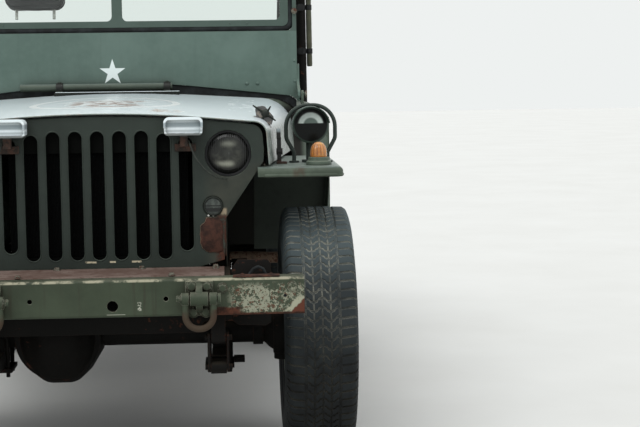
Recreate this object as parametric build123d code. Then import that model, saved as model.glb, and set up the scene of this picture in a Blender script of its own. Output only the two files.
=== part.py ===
from build123d import *
import math
import os

# Quarter-ton army 4x4 car. Millimetres. It stands on Z = 0, faces -Y, and +X is its left side.

# Driving dimensions
wheelbase = 2032
front_axle_y = -1155
rear_axle_y = front_axle_y + wheelbase
half_track = 632
tyre_radius = 375
tyre_width = 216
rim_radius = 203
kingpin_x = 530
frame_half_width = 371
rail_width = 43
rail_wall = 5
frame_rear_y = 1385
bumper_y = -1680
bumper_half_length = 573
bumper_low = 504
bumper_high = 607
bumper_depth = 58
floor_z = 585
sill_z = 548
tub_half_width = 735
tub_rear_y = 1376
skin = 4
firewall_y = -500
hood_rear_y = -540
hood_front_y = -1455
grille_y = -1445
fender_half_width = 700
fender_top = 894
windshield_y = -495
windshield_half_width = 615
windshield_top = 1690
seat_gap = 0.3

# Springs and shock absorbers
spring_x = frame_half_width - 36
spring_width = 44
spring_half_length = 460
spring_leaf = 7
spring_leaves = 7
spring_top = 331
eye_z = 350
eye_radius = 16
pin_radius = 8
shackle_length = 82
front_eye_ys = (front_axle_y - spring_half_length, front_axle_y + spring_half_length)
rear_eye_ys = (rear_axle_y - spring_half_length, rear_axle_y + spring_half_length)
shock_x = frame_half_width + 30
shock_foot = 74
shock_head = 190
shock_eye_half = 25

# Axles
tube_radius = 38
diff_x = -150
diff_radius = 148
ball_radius = 68
ball_gap = 2
cup_wall = 8
drum_radius = 138
spindle_radius = 24
spindle_end = 690

# Engine and driveline
fan_y = -1310
shaft_z = 452
front_shaft_y = (-398.3, front_axle_y + 212.3)
rear_shaft_y = (-106.7, rear_axle_y - 212.3)
pinion_z = tyre_radius + 8
tunnel_half = 125
tunnel_top = 690
tank_y = (10, 380)
tank_top = 760
exhaust_radius = 22

# Bumper's shackles
tow_x = 286
tow_pin_z = 556
tow_pin_y = bumper_y - 34

# Tub
rear_floor_z = 624
door_rear_y = 440
housing_x = 500
housing_top = 845
side_top = 985
flare_front = 598
flare_front_y = hood_rear_y
flare_rear_y = -328
arch_reach = 425

# Windshield
fold_y = -548
fold_z = 1085
windshield_lug_x = 626
windshield_bow = 1146
opening_low = 1304
sash_half = 587
sash_low = 1320
sash_high = 1662

# Hood
hood_skirt_z = 901
hood_wall = 3
hood_hinge_y = -542
hood_hinge_z = 1104

# Seats and cage
seat_x = 395
cushion_y = (-40, 390)
back_low = 868
rear_seat_y = (780, 1120)
cage_radius = 19
cage_top = 1760
cage_x = 645
cage_front_y = -290
cage_rear_y = 650
cage_rear_x = 620
cage_stay_drop = 140

# Steering
box_point = (270, -840, 640)
wheel_point = (372, -150, 1120)
pitman_y = -840
pitman_z = 620
pitman_length = 136
arm_top_z = 472
link_z = 484
tie_y = front_axle_y - 140
drag_x = 415
drag_rear_x = 332

# Spare wheel
spare_x = -215
spare_z = 930
spare_y = 1596


# Basic shapes
def block(x0, x1, y0, y1, z0, z1):
    return Pos((x0 + x1) / 2, (y0 + y1) / 2, (z0 + z1) / 2) * Box(x1 - x0, y1 - y0, z1 - z0)


def rod(start, end, radius):
    start, end = Vector(*start), Vector(*end)
    return Part() + Solid.make_cylinder(radius, (end - start).length, Plane(start, z_dir=end - start))


def tube(start, end, radius, bore):
    return rod(start, end, radius) - rod(start, end, bore)


def bent_rod(points, bend, radius):
    # a round bar along straight runs joined by arcs of one radius, or of one for each corner
    path = FilletPolyline(*points, radius=bend)
    section = Plane(path @ 0, z_dir=path % 0) * Circle(radius)
    return sweep(section, path=path)


def bent_tube(points, bend, radius, bore):
    return bent_rod(points, bend, radius) - bent_rod(points, bend, bore)


def outline(points):
    # a closed face: each point is (u, v) or (u, v, radius of its corner)
    corners = []
    for i, point in enumerate(points):
        here = Vector(point[0], point[1])
        radius = point[2] if len(point) > 2 else 0
        if radius == 0:
            corners.append((here, None, here))
            continue
        back = (Vector(*points[i - 1][:2]) - here).normalized()
        on = (Vector(*points[(i + 1) % len(points)][:2]) - here).normalized()
        half = math.radians(back.get_angle(on)) / 2
        inward = (back + on).normalized()
        reach = radius / math.tan(half)
        middle = here + inward * (radius / math.sin(half) - radius)
        corners.append((here + back * reach, middle, here + on * reach))
    edges = []
    for i, (start, middle, end) in enumerate(corners):
        if middle is not None:
            edges.append(ThreePointArc(start, middle, end))
        following = corners[(i + 1) % len(corners)][0]
        if (following - end).length > 0.01:
            edges.append(Line(end, following))
    return make_face(edges)


def strip(path, thickness):
    # the outline of a bent sheet: path is (u, v) or (u, v, bend radius), thickness goes to its left
    far_side = []
    for i, point in enumerate(path):
        here = Vector(point[0], point[1])
        before = (here - Vector(*path[i - 1][:2])).normalized() if i > 0 else None
        after = (Vector(*path[i + 1][:2]) - here).normalized() if i < len(path) - 1 else None
        before = before or after
        after = after or before
        left = Vector(-before.Y - after.Y, before.X + after.X).normalized()
        stretch = thickness / left.dot(Vector(-before.Y, before.X))
        moved = here + left * stretch
        if len(point) > 2:
            turn = before.X * after.Y - before.Y * after.X
            far_side.append((moved.X, moved.Y, point[2] - thickness if turn > 0 else point[2] + thickness))
        else:
            far_side.append((moved.X, moved.Y))
    return outline(list(path) + far_side[::-1])


def side_prism(face, x0, x1):
    # face drawn in (Y, Z), pushed along X
    return extrude(Plane.YZ.offset(x0) * face, amount=x1 - x0)


def front_prism(face, y0, y1):
    # face drawn in (X, Z), pushed along Y
    return extrude(Plane.XZ.offset(-y1) * face, amount=y1 - y0)


def plan_prism(face, z0, z1):
    # face drawn in (X, Y), pushed along Z
    return extrude(Plane.XY.offset(z0) * face, amount=z1 - z0)


def turned(points, centre, axis):
    # a solid of revolution: points are (distance along the axis, radius) of its half section
    upright = abs(axis[2]) > 0.9
    across = (0, 1, 0) if upright else Vector(*axis).cross(Vector(0, 0, 1))
    plane = Plane(origin=centre, x_dir=axis, z_dir=across)
    return revolve(plane * outline(points), axis=Axis(centre, axis))


def mirrored(shape):
    return mirror(shape, about=Plane.YZ)


def both_sides(shape):
    return [shape, mirrored(shape)]


def save(name, *shapes):
    solids = []
    for shape in shapes:
        solids.extend(shape.solids())
    os.makedirs("parts", exist_ok=True)
    export_step(solids[0] if len(solids) == 1 else Compound(solids), "parts/" + name + ".step")


# Chassis frame
def rail_profile(inset):
    # (Y, bottom, top) along the rail: low amidships, raised over the rear axle
    stations = [
        (bumper_y + bumper_depth + seat_gap, 507, 605),
        (-700, 507, 605),
        (-520, 464, 562),
        (360, 464, 562),
        (600, 520, 618),
        (frame_rear_y, 520, 618),
    ]
    lower = [(y, low + inset, 60) for y, low, high in stations]
    upper = [(y, high - inset, 60) for y, low, high in stations]
    for side in (lower, upper):
        side[0] = side[0][:2]
        side[-1] = side[-1][:2]
    return outline(lower + upper[::-1])


def crossmember(y, z0, z1, width):
    reach = frame_half_width - rail_wall
    channel = [(y, z0), (y, z1), (y + width, z1), (y + width, z0)]
    inner = [(y + rail_wall, z0 - 1), (y + rail_wall, z1 - rail_wall),
             (y + width - rail_wall, z1 - rail_wall),
             (y + width - rail_wall, z0 - 1)]
    return side_prism(outline(channel), -reach, reach) - side_prism(outline(inner), -reach - 1, reach + 1)


def spring_hanger(y, rail_bottom):
    # two cheeks that hold a spring eye's pin, under the rail
    cheek_y = eye_radius + 12
    shape = [(y - cheek_y - 14, rail_bottom + 8), (y + cheek_y + 14, rail_bottom + 8),
             (y + cheek_y, eye_z - 12, 14), (y - cheek_y, eye_z - 12, 14)]
    cheeks = Part()
    for x0 in (spring_x - spring_width / 2 - 7, spring_x + spring_width / 2 + 2):
        cheeks += side_prism(outline(shape), x0, x0 + 5)
    bore = rod((spring_x - 60, y, eye_z), (spring_x + 60, y, eye_z), pin_radius + seat_gap)
    roof = block(spring_x - spring_width / 2 - 7, spring_x + spring_width / 2 + 7,
                 y - cheek_y - 14, y + cheek_y + 14, rail_bottom - 4, rail_bottom + 2)
    return cheeks + roof - bore


def shackle_post(y, rail_bottom, root):
    # the bracket that a spring shackle hangs from; root gives its two edges at the rail
    top_pin_z = eye_z + shackle_length
    post = side_prism(outline([(y + root[0], rail_bottom + 4), (y + root[1], rail_bottom + 4),
                               (y + 17, top_pin_z - 17, 16), (y - 17, top_pin_z - 17, 16)]),
                      spring_x - 20, spring_x + 20)
    return post - rod((spring_x - 60, y, top_pin_z), (spring_x + 60, y, top_pin_z), pin_radius + seat_gap)


def make_frame():
    web = side_prism(rail_profile(0), frame_half_width - rail_width, frame_half_width)
    pocket = side_prism(rail_profile(rail_wall), frame_half_width - rail_width - 1,
                        frame_half_width - rail_wall)
    rail = web - pocket
    rail += shackle_post(front_eye_ys[0], 507, (-4, 46))
    rail += spring_hanger(front_eye_ys[1], 507)
    rail += spring_hanger(rear_eye_ys[0], 464)
    rail += shackle_post(rear_eye_ys[1], 520, (-30, 30))
    rails = rail + mirrored(rail)
    # (front face Y, bottom, top, width) of each crossmember, which fits between the rails' flanges
    members = []
    for y, z0, z1, width in ((-1610, 512, 600, 60), (-1290, 512, 580, 70), (-60, 500, 557, 70),
                             (330, 469, 557, 70), (790, 525, 613, 60), (1318, 525, 613, 62)):
        members.append(crossmember(y, z0, z1, width) - rails)
    return [rails] + members


# Front bumper, tow brackets and the plate behind the bumper
def make_bumper():
    depth = bumper_depth
    wall = 6
    channel = [(bumper_y + depth, bumper_low), (bumper_y, bumper_low, 8), (bumper_y, bumper_high, 8),
               (bumper_y + depth, bumper_high)]
    hollow = [(bumper_y + depth + 1, bumper_low + wall), (bumper_y + wall, bumper_low + wall),
              (bumper_y + wall, bumper_high - wall), (bumper_y + depth + 1, bumper_high - wall)]
    bumper = side_prism(outline(channel), -bumper_half_length, bumper_half_length)
    bumper -= side_prism(outline(hollow), -bumper_half_length - 1, bumper_half_length + 1)
    # (X, Z, radius) of the crank hole and the bolt holes
    for x, z, radius in ((50, 535, 15), (-173, 552, 6.5), (195, 553, 6.5), (520, 555, 4.5),
                         (-520, 555, 4.5)):
        bumper -= rod((x, bumper_y - 1, z), (x, bumper_y + wall + 1, z), radius)
    return bumper


def make_tow_bracket(x):
    plate = front_prism(outline([(x - 38, 506, 6), (x + 38, 506, 6), (x + 38, 602, 6), (x - 38, 602, 6)]),
                        bumper_y - 10, bumper_y)
    lug = side_prism(outline([(bumper_y - 8, 512), (bumper_y - 8, 598), (tow_pin_y - 4, 580, 14),
                              (tow_pin_y - 18, tow_pin_z, 12), (tow_pin_y - 4, 532, 14)]), x - 9, x + 9)
    barrel = rod((x - 24, tow_pin_y, tow_pin_z), (x + 24, tow_pin_y, tow_pin_z), 19)
    bracket = plate + lug + barrel
    return bracket - rod((x - 40, tow_pin_y, tow_pin_z), (x + 40, tow_pin_y, tow_pin_z), 10.5)


def make_tow_shackle(x):
    bar = 9
    half = 38
    low = 474
    arm_top = tow_pin_z - 2
    points = [(x - half, tow_pin_y, arm_top), (x - half, tow_pin_y, low), (x + half, tow_pin_y, low),
              (x + half, tow_pin_y, arm_top)]
    bow = bent_rod(points, half - 2, bar)
    eyes = Part()
    for side in (-1, 1):
        eyes += rod((x + side * (half - 10), tow_pin_y, tow_pin_z),
                    (x + side * (half + 10), tow_pin_y, tow_pin_z), 17)
    pin = rod((x - half - 16, tow_pin_y, tow_pin_z), (x + half + 14, tow_pin_y, tow_pin_z), 10)
    head = rod((x + half + 12, tow_pin_y, tow_pin_z), (x + half + 20, tow_pin_y, tow_pin_z), 15)
    return bow + eyes + pin + head


def make_bumper_cover():
    # the rusty sheet between the bumper and the grille
    sheet = block(-355, 355, bumper_y + 50, grille_y - 4, bumper_high + seat_gap,
                  bumper_high + seat_gap + 3)
    return sheet


# Axles
def diff_bulge(y, facing):
    # facing is -1 where the cover looks forward, 1 where it looks back
    centre = (0, y, tyre_radius)
    half = [(diff_x - 132, 0), (diff_x - 132, tube_radius + 8), (diff_x - 96, 104, 40),
            (diff_x - 40, diff_radius, 60), (diff_x + 50, diff_radius, 60), (diff_x + 96, 104, 40),
            (diff_x + 132, tube_radius + 8), (diff_x + 132, 0)]
    bulge = turned(half, centre, (1, 0, 0))
    rim_at = y + facing * 52
    bulge += rod((diff_x, rim_at, tyre_radius), (diff_x, rim_at + facing * 26, tyre_radius), 128)
    dome = turned([(0, 0), (0, 112), (26, 96, 18), (44, 40, 30), (44, 0)],
                  (diff_x, rim_at + facing * 26, tyre_radius), (0, facing, 0))
    nose = turned([(0, 0), (0, 86), (150, 48), (190, 44), (190, 0)],
                  (diff_x, y, tyre_radius + 8), (0, -facing, 0))
    yoke_y = y - facing * 190
    yoke = rod((diff_x, yoke_y, tyre_radius + 8), (diff_x, yoke_y - facing * 22, tyre_radius + 8), 40)
    return bulge + dome + nose + yoke


def spring_pad(y):
    # the saddle that the spring is clamped to, under the axle tube
    pad = block(spring_x - spring_width / 2, spring_x + spring_width / 2, y - 40, y + 40,
                spring_top + seat_gap, tyre_radius)
    return pad


def make_front_axle():
    axle = rod((-kingpin_x, front_axle_y, tyre_radius), (kingpin_x, front_axle_y, tyre_radius), tube_radius)
    axle += diff_bulge(front_axle_y, -1)
    for side in (-1, 1):
        axle += Pos(side * kingpin_x, front_axle_y, tyre_radius) * Sphere(ball_radius)
        axle += rod((side * (kingpin_x - 92), front_axle_y, tyre_radius),
                    (side * (kingpin_x - 62), front_axle_y, tyre_radius), tube_radius + 7)
    pad = spring_pad(front_axle_y)
    return axle + pad + mirrored(pad)


def make_rear_axle():
    end = half_track - 42
    axle = rod((-end, rear_axle_y, tyre_radius), (end, rear_axle_y, tyre_radius), tube_radius)
    axle += diff_bulge(rear_axle_y, 1)
    for side in (-1, 1):
        axle += rod((side * (end - 8), rear_axle_y, tyre_radius), (side * end, rear_axle_y, tyre_radius),
                    drum_radius)
        axle += rod((side * end, rear_axle_y, tyre_radius), (side * spindle_end, rear_axle_y, tyre_radius),
                    spindle_radius)
    pad = spring_pad(rear_axle_y)
    return axle + pad + mirrored(pad)


# Leaf springs with their shackles, clamps and shock absorbers
def spring_outline(y):
    # stacked leaves on arcs about one centre, each shorter than the one above it
    rise = 6
    radius = spring_half_length ** 2 / (2 * rise)
    centre_z = spring_top + radius
    edges = []
    ends = []
    for leaf in range(spring_leaves):
        half = spring_half_length - 4 - leaf * 58
        ends.append((half, radius + leaf * spring_leaf, radius + (leaf + 1) * spring_leaf))

    def at(half, r, side):
        angle = side * half / radius
        return (y + r * math.sin(angle), centre_z - r * math.cos(angle))

    edges.append(ThreePointArc(at(ends[0][0], radius, -1), at(0, radius, 1), at(ends[0][0], radius, 1)))
    last = ends[-1]
    edges.append(ThreePointArc(at(last[0], last[2], -1), at(0, last[2], 1), at(last[0], last[2], 1)))
    for side in (-1, 1):
        for i, (half, upper, lower) in enumerate(ends):
            edges.append(Line(at(half, upper, side), at(half, lower, side)))
            if i + 1 < len(ends):
                inner = ends[i + 1][0]
                edges.append(ThreePointArc(at(half, lower, side), at((half + inner) / 2, lower, side),
                                           at(inner, lower, side)))
    return make_face(edges)


def make_leaf_spring(y):
    x0 = spring_x - spring_width / 2
    x1 = spring_x + spring_width / 2
    spring = side_prism(spring_outline(y), x0, x1)
    for side in (-1, 1):
        eye_y = y + side * spring_half_length
        spring += rod((x0, eye_y, eye_z), (x1, eye_y, eye_z), eye_radius)
    for side in (-1, 1):
        eye_y = y + side * spring_half_length
        spring -= rod((x0 - 1, eye_y, eye_z), (x1 + 1, eye_y, eye_z), pin_radius + seat_gap)
    # the clips that hold the leaves together
    for offset in (-230, 230):
        drop = 33
        clip = block(x0 - 4, x1 + 4, y + offset - 9, y + offset + 9, spring_top - drop, spring_top + 10)
        clip -= block(x0, x1, y + offset - 10, y + offset + 10, spring_top - drop + 4, spring_top + 6)
        spring += clip
    return spring


def make_shackle(eye_y):
    # two side links with pins through the spring eye and the bracket above it
    top = eye_z + shackle_length
    shackle = Part()
    for x0 in (spring_x - spring_width / 2 - 7, spring_x + spring_width / 2 + 1):
        link = side_prism(outline([(eye_y - 15, eye_z - 15, 14), (eye_y + 15, eye_z - 15, 14),
                                   (eye_y + 15, top + 15, 14), (eye_y - 15, top + 15, 14)]), x0, x0 + 6)
        shackle += link
    for z in (eye_z, top):
        shackle += rod((spring_x - 38, eye_y, z), (spring_x + 38, eye_y, z), pin_radius)
    return shackle


def make_eye_pin(eye_y):
    pin = rod((spring_x - 36, eye_y, eye_z), (spring_x + 36, eye_y, eye_z), pin_radius)
    head = rod((spring_x + 33, eye_y, eye_z), (spring_x + 40, eye_y, eye_z), 13)
    return pin + head


def make_spring_clamp(y):
    # the plate under the spring, with two U-bolts over the axle tube
    low = spring_top - spring_leaves * spring_leaf - seat_gap
    plate_half = spring_width / 2 + 22
    plate = block(spring_x - plate_half, spring_x + plate_half, y - 62, y + 62, low - 12, low)
    plate += block(spring_x + plate_half - 1, shock_x + 11, y + 24, y + shock_foot + 14, low - 12, low)
    clamp = plate
    bolt = 6
    arm = spring_width / 2 + bolt + 3
    for side in (-1, 1):
        over = y + side * 50
        top = tyre_radius + 7
        points = [(spring_x - arm, over, low - 26), (spring_x - arm, over, top),
                  (spring_x + arm, over, top), (spring_x + arm, over, low - 26)]
        clamp += bent_rod(points, 16, bolt)
    return clamp


def make_shock(y, head_z):
    # a telescopic damper between the spring plate and the frame
    foot = (shock_x, y + shock_foot, 352)
    head = (shock_x, y + shock_head, head_z)
    along = (Vector(*head) - Vector(*foot)).normalized()
    middle = Vector(*foot) + along * 118
    shock = rod(foot, middle, 19)
    shock += rod(middle - along * 2, head, 24)
    for end in (foot, head):
        shock += rod((shock_x - shock_eye_half, end[1], end[2]),
                     (shock_x + shock_eye_half, end[1], end[2]), 17)
    return shock


def make_shock_mounts(y, head_z):
    low_plate = spring_top - spring_leaves * spring_leaf - seat_gap
    eye_face = shock_x - shock_eye_half - seat_gap
    top_pin = rod((frame_half_width + seat_gap, y + shock_head, head_z),
                  (eye_face, y + shock_head, head_z), 13)
    leg = block(spring_x + 29, eye_face, y + shock_foot - 12, y + shock_foot + 12, low_plate - 1, 362)
    return top_pin, leg


# Engine, gearbox, shafts, exhaust and tank
def make_engine():
    # one block at the real place: crankcase, head, pulley, manifold, air cleaner and mounts
    engine = front_prism(outline([(-30, 505), (85, 505), (115, 575, 20), (120, 700, 10), (95, 820, 8),
                                  (-95, 820, 8), (-120, 700, 10), (-110, 575, 20)]), -1210, -760)
    engine += block(-92, 92, -1200, -770, 820, 868)
    engine += block(-75, 75, -1190, -790, 868, 880)
    engine += rod((0, -1245, 660), (0, -1208, 660), 62)
    engine += rod((0, -1208, 790), (0, fan_y, 790), 20)
    for i in range(4):
        engine += rod((90, -1180 + i * 115, 760), (150, -1180 + i * 115, 730), 22)
    engine += rod((150, -1205, 728), (150, -800, 728), 26)
    engine += rod((-150, -1000, 905), (-150, -1000, 1000),
                  70) + rod((-150, -1000, 880), (-95, -1000, 850), 22)
    engine += rod((-150, -1000, 860), (-150, -1000, 910), 22)
    reach = frame_half_width - rail_wall - seat_gap
    engine += block(-reach, -90, -1200, -1180, 560, 584) + block(90, reach, -1200, -1180, 560, 584)
    return engine


def make_fan():
    fan = rod((0, fan_y - seat_gap - 29, 790), (0, fan_y - seat_gap, 790), 34)
    for i in range(4):
        turn = Pos(0, fan_y - seat_gap - 16, 790) * Rot(0, 45 + i * 90, 0)
        fan += turn * Pos(0, 0, 112) * Rot(0, 0, 24) * Box(56, 3, 170)
    return fan


def make_gearbox():
    bell = turned([(0, 0), (0, 178, 12), (60, 170, 20), (190, 96, 20), (190, 0)], (0, -760, 560), (0, 1, 0))
    bell = bell - block(-200, 200, -770, -560, 300, 436)
    box = front_prism(outline([(-85, 470, 20), (85, 470, 20), (92, 600, 30), (50, 632, 20), (-50, 632, 20),
                               (-92, 600, 30)]), -575, -330)
    transfer = front_prism(outline([(-235, 470, 50), (-190, 412, 40), (-100, 412, 40), (70, 452, 30),
                                    (96, 520, 30),
                                    (60, 598, 30), (-60, 598, 30), (-200, 540, 40)]), -330, -200)
    transfer += rod((diff_x, -385, shaft_z), (diff_x, -120, shaft_z), 46)
    transfer += rod((diff_x, front_shaft_y[0] + seat_gap, shaft_z),
                    (diff_x, rear_shaft_y[0] - seat_gap, shaft_z), 34)
    lever_tower = rod((0, -400, 620), (0, -400, 668), 36)
    return bell + box + transfer + lever_tower


def make_drive_shaft(ends):
    # from the transfer case to the axle's pinion, with flanges square to the yokes
    start = Vector(diff_x, ends[0], shaft_z)
    end = Vector(diff_x, ends[1], pinion_z)
    along = (end - start).normalized()
    square = Vector(0, math.copysign(1, ends[1] - ends[0]), 0)
    shaft = rod(start + along * 52, end - along * 52, 25)
    for place, way in ((start, 1), (end, -1)):
        shaft += rod(place, place + square * way * 10, 42)
        shaft += rod(place + square * way * 6, place + along * way * 58, 20)
        shaft += rod((place + along * way * 34 + Vector(-38, 0, 0)),
                     (place + along * way * 34 + Vector(38, 0, 0)), 11)
    return shaft


def make_exhaust():
    # down from the manifold, back under the floor to the silencer, out ahead of the rear wheel
    bore = exhaust_radius - 2
    front = bent_tube([(150, -830, 701.7), (150, -830, 540), (236, -720, 440), (236, -600, 430),
                       (236, -50, 430)], 50,
                      exhaust_radius, bore)
    silencer = turned([(0, 0), (0, 55, 14), (320, 55, 14), (320, 0)], (236, -50, 430), (0, 1, 0))
    tail = bent_tube([(236, 270, 430), (236, 310, 428), (330, 340, 424), (740, 344, 410)], 36,
                     exhaust_radius, bore)
    return front + silencer + tail


def make_skid_plate():
    # guard under the transfer case, hung from the rails, cut out where the shafts come through
    path = [(-470, 466), (-420, 398, 24), (-150, 398, 24), (-90, 462)]
    guard = side_prism(strip(path, 4), -262, 190)
    top = 464 - seat_gap
    for y0, y1 in ((-482, -462), (-98, -78)):
        guard += block(1 - frame_half_width, frame_half_width - 1, y0, y1, top - 7, top)
    for y0, y1 in ((-500, -425), (-156, -60)):
        guard -= block(diff_x - 62, diff_x + 62, y0, y1, 395, 490)
    return guard


def make_fuel_tank():
    # the tank under the driver's seat, in the floor's well
    x0, x1 = 225, 585
    y0, y1 = tank_y
    body = plan_prism(outline([(x0, y0, 30), (x1, y0, 30), (x1, y1, 30), (x0, y1, 30)]),
                      floor_z + skin + seat_gap,
                      tank_top)
    body += block(x0 - 6, x1 + 6, y0 - 6, y1 + 6, tank_top - 64, tank_top - 60)
    neck = rod((x1 - 50, y0 + 70, tank_top - 4), (x1 - 50, y0 + 70, tank_top + 24), 34)
    return body + neck


# Tub: floor, sides with wheel housings, and tail panel
def flare_at(y):
    # outer half width of the cowl where it widens to the tub
    share = (y - flare_front_y) / (flare_rear_y - flare_front_y)
    return flare_front + (tub_half_width - flare_front) * share


def make_floor():
    path = [(firewall_y + skin + 1, 766), (-385, floor_z, 40), (462, floor_z, 12), (474, rear_floor_z, 12),
            (tub_rear_y - skin, rear_floor_z)]
    wide = tub_half_width - skin
    sheet = side_prism(strip(path, skin), -wide, wide)
    half = [(flare_at(firewall_y + skin) - skin - 6, firewall_y + skin), (wide - 6, flare_rear_y),
            (wide, flare_rear_y + 1), (wide, door_rear_y), (housing_x, door_rear_y),
            (housing_x, tub_rear_y - skin)]
    plan = outline(half + [(-x, y) for x, y in half[::-1]])
    sheet = sheet & plan_prism(plan, 400, 900)
    tunnel_path = [(-tunnel_half, floor_z + skin), (-tunnel_half, tunnel_top, 40),
                   (tunnel_half, tunnel_top, 40),
                   (tunnel_half, floor_z + skin)]
    length = (firewall_y + skin + 1, -150)
    cover = front_prism(outline(tunnel_path), *length)
    slope = [(-260, tunnel_top + 5), (length[1] + 5, tunnel_top + 5), (length[1] + 5, floor_z),
             (length[1], floor_z)]
    cover -= side_prism(outline(slope), -200, 200)
    inner_path = [(-tunnel_half + skin, 400), (-tunnel_half + skin, tunnel_top - skin, 36),
                  (tunnel_half - skin, tunnel_top - skin, 36), (tunnel_half - skin, 400)]
    hollow = front_prism(outline(inner_path), length[0] - 5, length[1])
    inner_slope = [(-260 - 5, tunnel_top + 5), (length[1] + 5, tunnel_top + 5), (length[1] + 5, 390),
                   (length[1] - 5, 390), (length[1] - 5, floor_z)]
    hollow -= side_prism(outline(inner_slope), -200, 200)
    floor = sheet + cover - hollow
    # pressed ribs across the floor and the hat sections that rest on the rails
    for y in (-60, 60, 180, 300):
        floor += block(-165, 165, y - 12, y + 12, floor_z + skin - 1, floor_z + skin + 5)
    for y in (700, 840, 980, 1120, 1260):
        floor += block(-420, 420, y - 12, y + 12, rear_floor_z + skin - 1, rear_floor_z + skin + 5)
    for y, top, rail_top in ((-90, floor_z, 562), (240, floor_z, 562)):
        floor += block(-wide + 1, wide - 1, y - 35, y + 35, rail_top + seat_gap, top + 1)
        floor -= block(-wide + 1 + skin, wide - 1 - skin, y - 35 + skin, y + 35 - skin, rail_top - 1, top)
    for y in (760, 1300):
        floor += block(-housing_x + 1, housing_x - 1, y - 30, y + 30, 618 + seat_gap, rear_floor_z + 1)
    return floor


side_outline = [
    (flare_rear_y, sill_z), (rear_axle_y - arch_reach, sill_z),
    (rear_axle_y - arch_reach, 800, 200), (rear_axle_y + arch_reach, 800, 200),
    (rear_axle_y + arch_reach, 650, 20), (tub_rear_y, 650),
    (tub_rear_y, side_top), (door_rear_y, side_top, 80), (330, 668, 120), (-215, 668, 130),
    (flare_rear_y, 1000),
]


def make_side():
    outer = tub_half_width
    side = side_prism(outline(side_outline), outer - skin, outer)
    # the turned-in edge along the top, the door cut and the wheel arch
    top_edge = [(flare_rear_y, 1000), (-215, 668, 130), (330, 668, 120), (door_rear_y, side_top, 80),
                (tub_rear_y - skin, side_top)]
    top_edge = [(y, z) + tuple(r) for y, z, *r in top_edge]
    lip = side_prism(strip(top_edge, -skin), outer - 24, outer - skin + 1)
    side += lip & block(outer - 30, outer, flare_rear_y, tub_rear_y, 0, 1100)
    arch_edge = [(rear_axle_y - arch_reach, sill_z), (rear_axle_y - arch_reach, 800, 200),
                 (rear_axle_y + arch_reach, 800, 200), (rear_axle_y + arch_reach, 650)]
    side += side_prism(strip(arch_edge, skin), outer - 16, outer - skin + 1)
    side += block(outer - 30, outer - skin + 1, flare_rear_y, rear_axle_y - arch_reach - skin, sill_z,
                  sill_z + skin)
    # housing over the rear wheel, boxed as a bench for the rear load
    wall = housing_x
    low = rear_floor_z
    side += block(wall, wall + skin, door_rear_y, tub_rear_y - skin, low, housing_top)
    side += block(wall, outer - skin + 1, door_rear_y, tub_rear_y - skin, housing_top - skin, housing_top)
    side += block(wall, outer - skin + 1, door_rear_y, door_rear_y + skin, floor_z, housing_top)
    side += block(wall, wall + skin, door_rear_y, 480, floor_z, low + 1)
    return side


def make_tail():
    wide = tub_half_width - skin - seat_gap
    y = tub_rear_y - skin
    panel = front_prism(outline([(-wide, 620, 30), (wide, 620, 30), (wide, side_top, 30),
                                 (-wide, side_top, 30)]),
                        y + seat_gap, y + seat_gap + skin)
    # turned-out rim, pressed ribs and the spare wheel's backing
    for z in (700, 800, 900):
        panel += block(-430, 430, y + skin, y + skin + 6, z - 16, z + 16)
    panel += block(-wide + 20, wide - 20, y + skin, y + skin + 10, side_top - 22, side_top - 6)
    return panel


# Cowl, with the firewall and the instrument board
def cowl_section(y, half, side_z, crown_z, grow, low):
    # (X, Z, corner radius): straight sides, round shoulders and a crowned top
    face = outline([(half - grow, low), (half - grow - 6, side_z - grow, 110 - grow),
                    (0, crown_z - grow, 3700), (-half + grow + 6, side_z - grow, 110 - grow),
                    (-half + grow, low)])
    return Plane.XZ.offset(-y) * face


def cowl_solid(grow, low, y0, y1):
    front = cowl_section(y0, flare_at(y0), 1068, 1104, grow, low)
    rear = cowl_section(y1, flare_at(y1), 1052, 1110, grow, low)
    return loft([front, rear], ruled=True)


def make_cowl():
    shell = cowl_solid(0, sill_z, flare_front_y, flare_rear_y)
    cavity = cowl_solid(skin, sill_z - 1, flare_front_y - 1, flare_rear_y + 1)
    cowl = shell - cavity
    cowl += cavity_slice(firewall_y, firewall_y + skin, 566)
    inner = tunnel_half - skin
    cowl -= block(-inner, inner, firewall_y - 1, firewall_y + skin + 1, 560, tunnel_top - skin)
    board_y = flare_rear_y - 10
    board = cavity_slice(board_y, board_y + skin, 930)
    cowl += board
    # instruments: (X, Z, radius)
    for x, z, radius in ((0, 1010, 45), (-88, 1040, 26), (88, 1040, 26), (-88, 978, 26), (88, 978, 26)):
        cowl += rod((x, board_y + 1, z), (x, board_y + skin + 8, z), radius)
        cowl -= rod((x, board_y + skin + 5, z), (x, board_y + skin + 9, z), radius - 5)
    cowl += block(-300, 300, board_y + skin - 1, board_y + skin + 16, 926, 930 + skin)
    cowl += block(-640, -400, board_y + skin - 1, board_y + skin + 5, 950, 1035)
    # step plates that join the flare to the fenders' feet
    step = plan_prism(outline([(flare_at(-520) - 2, -520), (flare_at(-520) + 40, -546),
                               (fender_half_width, -546),
                               (tub_half_width - 1, flare_rear_y), (tub_half_width - 3, flare_rear_y)]),
                      sill_z, sill_z + skin)
    cowl += step
    cowl += mirrored(step)
    for side in (-1, 1):
        x0 = side * windshield_lug_x
        lug = side_prism(outline([(fold_y - 14, fold_z - 14, 12), (fold_y - 14, fold_z + 14, 12),
                                  (fold_y + 14, fold_z + 14, 12), (-505, 1040), (-482, 1004), (-482, 930),
                                  (-520, 930)]), min(x0, x0 + side * 8), max(x0, x0 + side * 8))
        cowl += lug
        cowl += rod((side * (windshield_half_width + 1), fold_y, fold_z),
                    (x0 + side * 14, fold_y, fold_z), 8)
    return cowl


def cavity_slice(y0, y1, low):
    # a plate across the inside of the cowl
    whole = cowl_solid(skin - 0.5, low, flare_front_y, flare_rear_y)
    return whole & block(-900, 900, y0, y1, low, 1200)


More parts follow.
